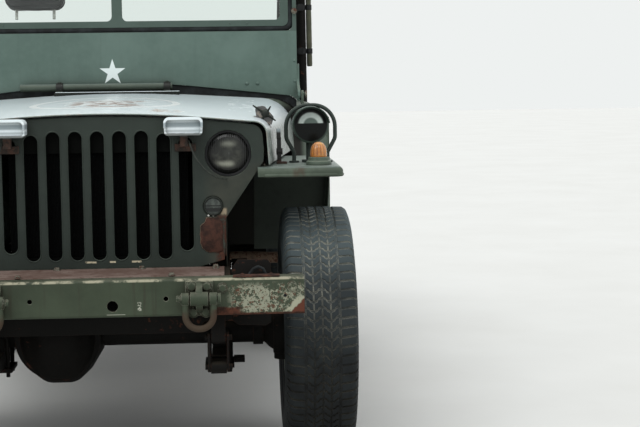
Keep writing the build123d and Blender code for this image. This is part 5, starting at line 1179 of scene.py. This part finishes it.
def makeCurtainRolls():
    canvas, straps = bmesh.new(), bmesh.new()
    rng = random.Random(4)
    low, high = rollLook["low"], rollLook["high"]
    for side in (-1, 1):
        foot, head = [Vector((side * (postAt(z) + rollLook["beside"]), rollLook["postY"],
                              z)) for z in (low, high)]
        profile = [(0, 0), (0.006, 0.0004), (rollLook["radius"] * 0.9, 0.002)]
        for step in range(1, rollLook["steps"]):
            z = 0.42 * step / rollLook["steps"]
            near = min(abs(low + z - s) for s in rollLook["straps"])
            pinch = rollLook["pinch"] * math.exp(-(near / 0.014) ** 2)
            radius = rollLook["radius"] - pinch - rng.random() * 0.0007
            profile.append((radius, z))
        profile += [(rollLook["radius"] * 0.9, 0.418), (0.006, 0.4196), (0, 0.42)]
        where = Matrix.Translation(foot) @ (head - foot).to_track_quat("Z", "Y").to_matrix().to_4x4()
        addTurned(canvas, profile, where, 28)
        for z in rollLook["straps"]:
            spot = foot.lerp(head, (z - low) / 0.42)
            hoop = spot - Vector((side * rollLook["beside"], 0, 0))
            for part, radius in ((spot, 0.0116), (hoop, 0.0202)):
                addTurned(straps, [(radius, -0.009), (radius, 0.009), (radius - 0.0014, 0.009),
                                   (radius - 0.0014, -0.009), (radius, -0.009)],
                          Matrix.Translation(part), 28)
            addBox(straps, (hoop.x - 0.009, -0.3135, z - 0.012), (hoop.x + 0.009, -0.3095, z + 0.012))
    finishPiece("curtain_canvas", canvas, finishes["canvas"], "chassis", ["curtain_rolls"], 50)
    finishPiece("curtain_straps", straps, finishes["plastic"], "chassis")
    print("curtain rolls made")


makeCurtainRolls()

signalLook = {"ribs": 14, "ribDepth": 0.035}


def makeTurnSignals():
    domes, bases = bmesh.new(), bmesh.new()
    for side in (-1, 1):
        place = (side * 0.634, -1.385, 0)
        dome = addTurned(domes, [(0, 0.9172), (0.0235, 0.9172), (0.0245, 0.919), (0.0245, 0.926),
                                 (0.0238, 0.934), (0.0222, 0.942), (0.0195, 0.949),
                          (0.0155, 0.9545), (0.0105, 0.958), (0.005, 0.9598), (0, 0.9602)],
                         Matrix.Identity(4), 84)
        for vertex in dome:
            if vertex.co.z > 0.92:
                turn = math.atan2(vertex.co.y, vertex.co.x)
                swell = 1 - signalLook["ribDepth"] * (0.5 - 0.5 * math.cos(turn * signalLook["ribs"])) ** 2
                vertex.co.x *= swell
                vertex.co.y *= swell
        bmesh.ops.translate(domes, verts=dome, vec=place)
        addTurned(bases, [(0, 0.8943), (0.037, 0.8943), (0.037, 0.9), (0.0355, 0.9045), (0.031, 0.9065),
                          (0.030, 0.912), (0.0298, 0.916),
                          (0.0275, 0.917), (0.0262, 0.9155), (0, 0.9155)], Matrix.Translation(place), 40)
        for turn in (0.6, 3.74):
            spot = Vector((side * 0.634 + math.cos(turn) * 0.0335, -1.385 + math.sin(turn) * 0.0335, 0.9035))
            addRivet(bases, spot, (0, 0, 1), 0.0032)
    finishPiece("signal_domes", domes, finishes["amber"], "chassis", ["turn_signals"], 60)
    finishPiece("signal_bases", bases, bodyPaint, "chassis", ["turn_signals"])
    print("turn signals made")


makeTurnSignals()


# Lamp lenses that sit in the CAD bodies
def plainLens(name, look):
    lens = Finish(name)
    cloud = lens.noise(50, 4, 0.6)
    ribs = abs(lens.sum("SINE", lens.x * (math.pi / look["rib"])))
    lens.colour = lens.mix(lens.rise(cloud, 0.4, 0.7), look["deep"], look["pale"])
    for low, high, tone in look.get("bands", ()):
        lens.mark(lens.between(lens.z, low, high, 0.0008), tone)
    lens.rough = 0.16 + cloud * 0.2
    lens.gloss = 0.2
    lens.height = ribs
    return lens.settle(0.0004, 0.5, **{"Coat Weight": 0.2, "Coat Roughness": 0.08})


def driveLens():
    # black below; the upper half has a painted reflection, a pale band and a bright crescent, for the lamp's
    # hood catching the light
    lens = Finish("driveLens")
    cloud = lens.noise(50, 4, 0.6)
    reach = lens.span(lens.x - 0.617, lens.z - 1.006)
    upperReflection = lens.rise(lens.z, 1.0105, 1.0125)
    crescentGlint = upperReflection * lens.between(reach, 0.022, 0.037, 0.003)
    lens.colour = lens.mix(cloud, tint(10, 12, 11), tint(16, 19, 18))
    lens.mark(upperReflection * (1 - lens.rise(reach, 0.034, 0.038)) * 0.85, tint(104, 118, 111))
    lens.mark(crescentGlint * (0.6 + cloud * 0.4), tint(218, 230, 224))
    lens.rough = 0.14 + cloud * 0.2
    lens.gloss = 0.15
    return lens.settle()


def makeLenses():
    marker = plainLens("markerLens", {"rib": 0.003, "deep": tint(46, 51, 48), "pale": tint(74, 80, 75),
                                      "bands": ((0.7835, 0.7865, tint(16, 18, 17)),
                                                (0.768, 0.779, tint(24, 27, 26)))})
    red = plainLens("tailLens", {"rib": 0.004, "deep": tint(118, 18, 14), "pale": tint(150, 30, 22)})
    drive = driveLens()
    faces, bodies, tails, drives, screws = bmesh.new(), bmesh.new(), bmesh.new(), bmesh.new(), bmesh.new()
    for side in (-1, 1):
        addTurned(bodies, [(0, -0.048), (0.012, -0.048), (0.026, -0.036), (0.028, -0.002), (0.028, 0.0005),
                           (0.0265, 0.0022), (0.0238, 0.0022),
                           (0.0225, 0.0008), (0.0225, -0.001), (0, -0.001)],
                  facing((side * 0.326, -1.449, 0.784), (0, -1, 0)), 40)
        addTurned(faces, [(0, 0.0018), (0.012, 0.0015), (0.0222, 0.0002), (0.0222, -0.0012), (0, -0.0012)],
                  facing((side * 0.326, -1.449, 0.784), (0, -1, 0)), 36)
        addTurned(bodies, [(0, 0), (0.040, 0), (0.040, 0.038), (0.0385, 0.043), (0.0335, 0.044),
                           (0.0325, 0.0425), (0, 0.0425)],
                  facing((side * 0.660, 1.3763, 0.740), (0, 1, 0)), 48)
        outline = [(-0.024, -0.040), (0.024, -0.040), (0.030, -0.034), (0.030, 0.044), (0.024, 0.050),
                   (-0.024, 0.050), (-0.030, 0.044), (-0.030, -0.034)]
        turn = Matrix.Translation((side * 0.660, 1.3763, 0.740)) @ Matrix.Rotation(math.radians(90), 4, "X")
        addPrism(bodies, outline, -0.008, 0, turn)
        addTurned(tails, [(0, 0.0055), (0.018, 0.0047), (0.030, 0.0015), (0.0322, 0), (0.0322, -0.001),
                          (0, -0.001)],
                  facing((side * 0.660, 1.4189, 0.740), (0, 1, 0)), 40)
        for drop in (-0.0065, 0.0065):
            addRivet(screws, (side * (0.319 + drop), -1.4478, 0.757), (0, -1, 0), 0.0036)
        for lift in (0.706, 0.784):
            addRivet(screws, (side * 0.660, 1.3843, lift), (0, 1, 0), 0.004)
    addTurned(drives, [(0, 0.004), (0.02, 0.0034), (0.04, 0.0012), (0.0475, 0), (0.0475, -0.0015),
                       (0, -0.0015)],
              facing((0.617, -1.2952, 1.006), (0, -1, 0)), 40)
    finishPiece("marker_lenses", faces, marker, "chassis", ["marker_lamps"])
    finishPiece("lamp_bodies", bodies, finishes["lampBlack"], "chassis", ["marker_lamps"])
    finishPiece("tail_lenses", tails, red, "chassis", ["marker_lamps"])
    finishPiece("drive_lens", drives, drive, "chassis")
    finishPiece("lamp_screws", screws, finishes["bright"], "chassis")
    # the ragged plate under the left marker lamp, cut back by rust
    plate = bmesh.new()
    outline = [(0.3055, 0.7515), (0.3175, 0.7518), (0.3300, 0.7505), (0.3385, 0.7516), (0.3440, 0.7450),
               (0.3510, 0.7405), (0.3520, 0.7250),
               (0.3514, 0.6900), (0.3520, 0.6640), (0.3495, 0.6545), (0.3420, 0.6520), (0.3340, 0.6502),
               (0.3240, 0.6512), (0.3140, 0.6500),
               (0.3050, 0.6530), (0.2980, 0.6600), (0.2925, 0.6620), (0.2900, 0.6720), (0.2868, 0.6790),
               (0.2880, 0.6900), (0.2862, 0.7040),
               (0.2880, 0.7170), (0.2870, 0.7250), (0.2925, 0.7330), (0.3010, 0.7385), (0.3035, 0.7460)]
    addPrism(plate, outline, 1.4453, 1.4473, Matrix.Rotation(math.radians(90), 4, "X"))
    rim = [e for e in plate.edges if all(v.co.y < -1.4472 for v in e.verts)]
    roundEdges(plate, rim, 0.0007, 2)
    finishPiece("marker_plate", plate, finishes["rustPlate"], "chassis", ["marker_lamps"])
    print("lamps made")


makeLenses()


def makeGrilleLips():
    # each slot's edge is rolled over
    rolls = bmesh.new()
    half = 0.0214
    for i in range(-4, 5):
        low = 0.655 if abs(i) == 4 else 0.632
        high = 1.004 if abs(i) < 3 else 0.995 if abs(i) == 3 else 0.985
        arcs = ((i * 0.0625, high - half, half, 0, 180), (i * 0.0625, low + half, half, 180, 360))
        dense = denser(arcLoop(arcs, lambda across, up: (across, -1.4440, up)),
                       lambda length: round(length / 0.08))
        addSweep(rolls, dense, 0.0023, 8, closed=True)
    finishPiece("grille_lips", rolls, finishes["grille"], "chassis", smooth=60)
    print("grille lips made")


makeGrilleLips()


def makeShadeSheetsAndHose():
    # dark sheets behind the bumper, painted shade that hides the light seen under the car, and the hose
    # beside the frame
    shadeSheets = bmesh.new()
    middle = [(-0.322, 0.528), (-0.322, 0.472), (-0.294, 0.466), (-0.280, 0.436), (0.280, 0.436),
              (0.294, 0.466), (0.322, 0.472), (0.322, 0.528)]
    upright = Matrix.Rotation(math.radians(90), 4, "X")
    addPrism(shadeSheets, middle, 1.5472, 1.5498, upright)
    flap = [(0.3722, 0.612), (0.3722, 0.470), (0.392, 0.456), (0.470, 0.452), (0.484, 0.462), (0.486, 0.628),
            (0.476, 0.640), (0.392, 0.641)]
    for side in (-1, 1):
        addPrism(shadeSheets, [(side * x, z) for x, z in flap], 1.5472, 1.5498, upright)
        addPrism(shadeSheets, [(side * x, z) for x,
                          z in ((0.3205, 0.468), (0.3735, 0.468), (0.3735, 0.5062), (0.3205, 0.5062))],
                 1.5472, 1.5498, upright)
        # a foot bolts each flap to the side of the frame
        addBox(shadeSheets, (min(side * 0.3712, side * 0.3738), -1.5480, 0.512),
               (max(side * 0.3712, side * 0.3738), -1.5180, 0.598))
        for z in (0.528, 0.582):
            addBolt(shadeSheets, (side * 0.3736, -1.532, z), (side, 0, 0), 0.013, 0.006, False)
    rim = [e for e in shadeSheets.edges if all(v.co.y < -1.5497 for v in e.verts) and e.calc_length() > 0.01]
    roundEdges(shadeSheets, rim, 0.0008, 2)
    finishPiece("shade_sheets", shadeSheets, chassisPaint, "chassis")
    hose = bmesh.new()
    path = [(0.3715, -1.578, 0.556), (0.388, -1.578, 0.566), (0.408, -1.578, 0.582), (0.424, -1.578, 0.601),
            (0.435, -1.578, 0.6165), (0.449, -1.578, 0.6235),
            (0.463, -1.577, 0.6165), (0.470, -1.574, 0.600), (0.471, -1.568, 0.575), (0.466, -1.558, 0.545),
            (0.458, -1.549, 0.520)]
    addSweep(hose, path, 0.0048, 12)
    finishPiece("brake_hose", hose, finishes["seal"], "chassis", smooth=60)
    print("shade sheets and hose made")


makeShadeSheetsAndHose()


def makeFrontFasteners():
    bolts, small = bmesh.new(), bmesh.new()
    front = (0, -1, 0)
    for x, z in ((0.539, 0.581), (0.349, 0.580), (-0.349, 0.580), (-0.539, 0.581)):
        addBolt(bolts, (x, -1.680, z), front, 0.019, 0.008)
    for side in (-1, 1):
        for x, z in ((0.266, 0.587), (0.306, 0.587), (0.269, 0.517), (0.303, 0.517)):
            addBolt(bolts, (side * x, -1.690, z), front, 0.021, 0.010)
        # cotter end and washer of the shackle pin
        addRod(bolts, (side * 0.2355, -1.714, 0.556), (side * 0.2375, -1.714, 0.556), 0.014, 20)
        addBolt(bolts, (side * 0.232, -1.714, 0.556), (-side, 0, 0), 0.017, 0.008, False)
        for x, y in ((0.33, -1.462), (0.33, -1.49), (0.12, -1.47)):
            addBolt(small, (side * x, y, 0.6103), (0, 0, 1), 0.014, 0.007)
        addBolt(small, (side * 0.21, -1.625, 0.6103), (0, 0, 1), 0.013, 0.006)
    finishPiece("bumper_bolts", bolts, finishes["bumper"], "chassis")
    clamps = bmesh.new()
    for x in (-0.197, 0.168):
        addBolt(clamps, (x, -0.5275, 1.1300), (0, -0.25, 1), 0.011, 0.005)
        addBolt(clamps, (x, -0.5195, 1.1300), (0, 0.35, 1), 0.011, 0.005)
    finishPiece("clamp_bolts", clamps, finishes["lampBlack"], "chassis")
    for side in (-1, 1):
        for y in (-1.36, -1.18, -1.0):
            addBolt(small, (side * 0.4665, y, 0.894), (0, 0, 1), 0.012, 0.006)
        for y in (-1.4, -1.25, -1.05, -0.9):
            addBolt(small, (side * 0.474, y, 0.894), (0, 0, 1), 0.011, 0.005)
    finishPiece("front_screws", small, finishes["bolt"], "chassis")
    strap = bmesh.new()
    outline = [(0.378, -1.677), (0.43, -1.679), (0.472, -1.676), (0.505, -1.678), (0.507, -1.645),
               (0.486, -1.641), (0.44, -1.644), (0.396, -1.640),
               (0.379, -1.646)]
    addPrism(strap, outline, 0.6078, 0.6118)
    for x in (0.404, 0.483):
        addRivet(strap, (x, -1.66, 0.6117), (0, 0, 1), 0.007)
    finishPiece("bumper_strap", strap, finishes["rustySheet"], "chassis")
    print("front fasteners made")


makeFrontFasteners()


def makeWindshieldRivets():
    rivets = bmesh.new()
    front = (0, -1, 0)
    for side in (-1, 1):
        for z in (1.13, 1.2, 1.36, 1.48, 1.6):
            addRivet(rivets, (side * 0.6065, -0.495, z), front, 0.0048)
        for x in (0.07, 0.2, 0.33, 0.46, 0.55):
            addRivet(rivets, (side * x, -0.491, 1.651), front, 0.0035)
    for x in (-0.387, 0.386, 0.445):
        addRivet(rivets, (x, -0.491, 1.331), front, 0.0035)
    for x in (0.441, 0.478):
        addRivet(rivets, (x, -0.495, 1.124), front, 0.0065)
    fittings = bmesh.new()
    for side in (-1, 1):
        # hinge knuckles over the sash and the clamp screws at its sides
        for x in (0.0, 0.4):
            if x == 0 and side < 0:
                continue
            addRod(fittings, (side * x - 0.028, -0.4955, 1.668), (side * x + 0.028, -0.4955, 1.668), 0.0045,
                   14)
            for shift in (-0.018, 0.018):
                addRivet(fittings, (side * x + shift, -0.4912, 1.656), front, 0.0035)
        addBolt(fittings, (side * 0.6075, -0.4985, 1.371), front, 0.013, 0.006)
        addRod(fittings, (side * 0.640, -0.548, 1.085), (side * 0.646, -0.548, 1.085), 0.0125, 20)
    finishPiece("windshield_rivets", rivets, finishes["windshield"], "windshield")
    finishPiece("windshield_fittings", fittings, finishes["bolt"], "windshield")
    print("windshield fittings made")


makeWindshieldRivets()


sealLook = {"half": 0.612, "step": 0.009, "gap": 0.0003, "front": 0.490, "back": 0.474}


def makeSeals():
    # a rubber strip stands on the cowl up to the windshield's curved foot
    surfaces = []
    for name in ("cowl", "windshield_frame"):
        mesh = nodes[name].data
        surfaces.append(BVHTree.FromPolygons([v.co for v in mesh.vertices],
                                             [p.vertices for p in mesh.polygons]))
    cowl, panel = surfaces
    low, high = [], []
    count = round(2 * sealLook["half"] / sealLook["step"])
    for i in range(count + 1):
        x = -sealLook["half"] + 2 * sealLook["half"] * i / count
        feet, tops = [], []
        for y in (-0.490, -0.481, -0.474):
            under = cowl.ray_cast(Vector((x, y, 1.125)), Vector((0, 0, -1)))[0]
            over = panel.ray_cast(Vector((x, y, 1.0)), Vector((0, 0, 1)))[0]
            if under:
                feet.append(under.z)
            if over:
                tops.append(over.z)
        if feet and tops:
            low.append((x, max(feet) + 0.0003))
            high.append((x, max(max(feet) + 0.002, min(tops) - sealLook["gap"])))
    strip = bmesh.new()
    addPrism(strip, low + high[::-1], sealLook["back"], sealLook["front"],
             Matrix.Rotation(math.radians(90), 4, "X"))
    finishPiece("cowl_seal", strip, finishes["seal"], "chassis")
    # the sash sits in a round rubber cord
    cord = bmesh.new()
    half, low, high, lowCorner, highCorner, depth = 0.594, 1.312, 1.669, 0.022, 0.040, -0.4815
    arcs = ((half - highCorner, high - highCorner, highCorner, 0, 90),
            (highCorner - half, high - highCorner, highCorner, 90, 180),
            (lowCorner - half, low + lowCorner, lowCorner, 180, 270),
            (half - lowCorner, low + lowCorner, lowCorner, 270, 360))
    loop = arcLoop(arcs, lambda across, up: (across, depth, up))
    addSweep(cord, loop, 0.0112, 16, closed=True)
    finishPiece("sash_seal", cord, finishes["seal"], "windshield", smooth=60)
    # the front lip of each fender is rolled round a wire
    rolls = bmesh.new()
    for side in (-1, 1):
        path = [(side * 0.474, -1.4672, 0.8695)] + [(side * x, -1.4672, 0.8695) for x in (0.52, 0.57, 0.62,
                0.665)]
        for step in range(0, 91, 15):
            turn = math.radians(step)
            path.append((side * (0.672 + 0.0255 * math.sin(turn)), -1.4417 - 0.0255 * math.cos(turn), 0.8695))
        path += [(side * 0.6975, y, 0.8695) for y in (-1.35, -1.2, -1.05, -0.95)]
        addSweep(rolls, path, 0.0058, 12)
    finishPiece("fender_rolls", rolls, finishes["fender"], "chassis", smooth=60)
    print("seals and fender lips made")


makeSeals()


def makeBodyFasteners():
    rivets, bolts = bmesh.new(), bmesh.new()
    for side in (-1, 1):
        out = (side, 0, 0)
        for y in (0.47, 0.6, 0.73, 0.86, 0.99, 1.12, 1.25, 1.35):
            addRivet(rivets, (side * 0.735, y, 0.962), out, 0.0045)
        for z in (0.68, 0.76, 0.84, 0.92):
            addRivet(rivets, (side * 0.735, 1.358, z), out, 0.0045)
            addRivet(rivets, (side * 0.700, 1.376, z), (0, 1, 0), 0.0045)
        for y in (-0.3, -0.18, -0.04, 0.1, 0.24, 0.36):
            addRivet(rivets, (side * 0.735, y, 0.572), out, 0.0045)
        for y in (0.56, 0.72, 1.13, 1.29):
            for shift in (-0.012, 0.012):
                addBolt(bolts, (side * 0.7405, y, 0.905 + shift), out, 0.008, 0.003, False)
        for dx in (-0.027, 0.027):
            for dy in (-0.027, 0.027):
                addBolt(bolts, (side * 0.645 + dx, -0.290 + dy, 0.5955), (0, 0, 1), 0.013, 0.007)
                addBolt(bolts, (side * 0.620 + dx, 0.650 + dy, 0.8513), (0, 0, 1), 0.013, 0.007)
        for z in (0.548, 0.59):
            addBolt(bolts, (side * 0.344, 1.4473, z), (0, 1, 0), 0.015, 0.008)
            addBolt(bolts, (side * 0.42, 1.4473, z), (0, 1, 0), 0.015, 0.008)
            addBolt(bolts, (side * 0.046, 1.3923, z - 0.01), (0, 1, 0), 0.014, 0.008)
    finishPiece("body_rivets", rivets, bodyPaint, "chassis")
    finishPiece("body_bolts", bolts, finishes["bolt"], "chassis")
    print("body fasteners made")


makeBodyFasteners()


def makeHoodCatch():
    # a small winged hook on the casting at the hood's left shoulder
    hook = bmesh.new()
    centre = Vector((0.482, -1.331, 1.042))
    addTurned(hook, [(0, 0), (0.011, 0), (0.012, 0.004), (0.009, 0.008), (0.006, 0.010), (0, 0.0105)],
              facing(centre, (0.1, -1, 0.2)), 20)
    for wing, tip in (((-0.008, -0.004, 0.006), (-0.036, -0.010, 0.026)),
                      ((0.008, -0.004, -0.004), (0.030, -0.010, -0.020)),
                      ((-0.004, -0.004, -0.008), (-0.018, -0.008, -0.030)),
                      ((0.006, -0.004, 0.006), (0.016, -0.008, 0.022))):
        addRod(hook, centre + Vector(wing), centre + Vector(tip), 0.0042, 10, 0.0018)
    # a black strip over the hinge at the hood's rear edge, a painted shadow line below the cowl tube
    strip = bmesh.new()
    addBox(strip, (-0.2105, -0.5825, 1.0895), (0.2105, -0.5500, 1.1015))
    finishPiece("hinge_shadow_strip", strip, finishes["lampBlack"], "hood")
    finishPiece("hood_catch", hook, finishes["lampBlack"], "hood")
    print("hood catch made")


makeHoodCatch()


def makeFuelCan():
    # pressed ribs on the can's broad faces, a cross inside a frame
    ribs = bmesh.new()
    left, right, low, high = 0.262, 0.538, 0.735, 1.065
    corners = [Vector((x, 1.5745, z)) for x, z in ((left, low), (right, low), (right, high), (left, high))]
    rim = [corners[i].lerp(corners[(i + 1) % 4], k / 10) for i in range(4) for k in range(10)]
    addSweep(ribs, rim, 0.0045, 8, closed=True)
    for a, b in ((0, 2), (1, 3)):
        addSweep(ribs, [corners[a].lerp(corners[b], k / 12) for k in range(13)], 0.0045, 8)
    finishPiece("can_ribs", ribs, bodyPaint, "chassis", smooth=50)
    cap = bmesh.new()
    addTurned(cap, [(0.029, 0), (0.029, 0.012), (0.026, 0.015), (0, 0.0165)],
              facing((0.5355, 1.493, 1.157), (0.2, 0, 1)), 28)
    finishPiece("can_cap", cap, finishes["bolt"], "chassis")
    print("fuel can dressed")


makeFuelCan()


# each dial: x, z, radius
dialPlan = ((0, 1.010, 0.040), (-0.088, 1.040, 0.021), (0.088, 1.040, 0.021), (-0.088, 0.978, 0.021),
            (0.088, 0.978, 0.021))


def dialFace():
    face = Finish("dialFace")
    marks = None
    for x, z, radius in dialPlan:
        across, above = face.x - x, face.z - z
        reach = face.span(across, above) / radius
        turn = face.sum("ARCTAN2", across, above)
        tick = face.rise(face.sum("COSINE", turn * 24), 0.86, 0.95) * face.between(reach, 0.72, 0.9, 0.02)
        line = 1 - face.rise(abs(across + above * 0.7), 0.0008, 0.0014)
        needle = line * face.between(reach, 0, 0.7, 0.02) * face.rise(above, -0.002, 0.0)
        both = tick + needle
        marks = both if marks is None else marks + both
    face.colour = face.mix(face.rise(face.noise(20), 0.3, 0.7), tint(24, 25, 24), tint(36, 37, 35))
    face.mark(marks, tint(206, 204, 186))
    face.rough = 0.3 + face.noise(40) * 0.1
    return face.settle(**{"Coat Weight": 0.8})


def makeDials():
    dials = bmesh.new()
    for x, z, ring in dialPlan:
        radius = ring - 0.0005
        addTurned(dials, [(0, 0.0014), (radius * 0.6, 0.0012), (radius, 0.0004), (radius, 0), (0, 0)],
                  facing((x, -0.3289, z), (0, 1, 0)), 40)
    finishPiece("dial_faces", dials, dialFace(), "chassis")
    print("dials made")


makeDials()


# Floor, backdrop and light
stageLook = {"floor": tint(212, 213, 210), "light": (0.96, 0.98, 1, 1), "floorPatch": tint(200, 200, 196),
             "sky": tint(238, 241, 240), "ambient": 0.74}
suns = (("key", (-2.6, -3.6, 5.0), 1.5, 40), ("fill", (3.5, -2.0, 3.2), 0.5, 60),
        ("back", (-0.5, 4.5, 3.5), 0.9, 60))


def makeStage():
    bm = bmesh.new()
    bmesh.ops.create_grid(bm, x_segments=2, y_segments=2, size=30, matrix=Matrix.Translation((0, 6, -0.0006)))
    mesh = meshOf(bm, "floor")
    floor = bpy.data.objects.new("floor", mesh)
    scene.collection.objects.link(floor)
    ground = Finish("studioFloor")
    ground.colour = ground.mix(ground.noise(1.5, 3), stageLook["floor"], stageLook["floorPatch"])
    ground.rough = 0.75 + ground.noise(5) * 0.1
    mesh.materials.append(ground.settle())
    world = bpy.data.worlds.new("studio")
    scene.world = world
    world.use_nodes = True
    tree = world.node_tree
    tree.nodes.clear()
    rays = addNode(tree, "ShaderNodeLightPath").outputs
    # the backdrop shows to the camera, in reflections and through glass; the light is softer
    most = {"operation": "MAXIMUM"}
    direct = addNode(tree, "ShaderNodeMath", most,
                     {0: rays["Is Camera Ray"], 1: rays["Is Glossy Ray"]}).outputs[0]
    seen = addNode(tree, "ShaderNodeMath", most, {0: direct, 1: rays["Is Transmission Ray"]}).outputs[0]
    soft = addNode(tree, "ShaderNodeBackground", None,
                   {"Color": stageLook["light"], "Strength": stageLook["ambient"]})
    shown = addNode(tree, "ShaderNodeBackground", None, {"Color": stageLook["sky"], "Strength": 1})
    mixed = addNode(tree, "ShaderNodeMixShader", None, {0: seen, 1: soft.outputs[0], 2: shown.outputs[0]})
    addNode(tree, "ShaderNodeOutputWorld", None, {0: mixed.outputs[0]})
    for name, place, power, spread in suns:
        data = bpy.data.lights.new(name, "SUN")
        data.energy = power
        data.angle = math.radians(spread)
        lamp = bpy.data.objects.new(name, data)
        lamp.location = place
        lamp.rotation_euler = Vector(place).to_track_quat("Z", "Y").to_euler()
        scene.collection.objects.link(lamp)


makeStage()
print("stage made")
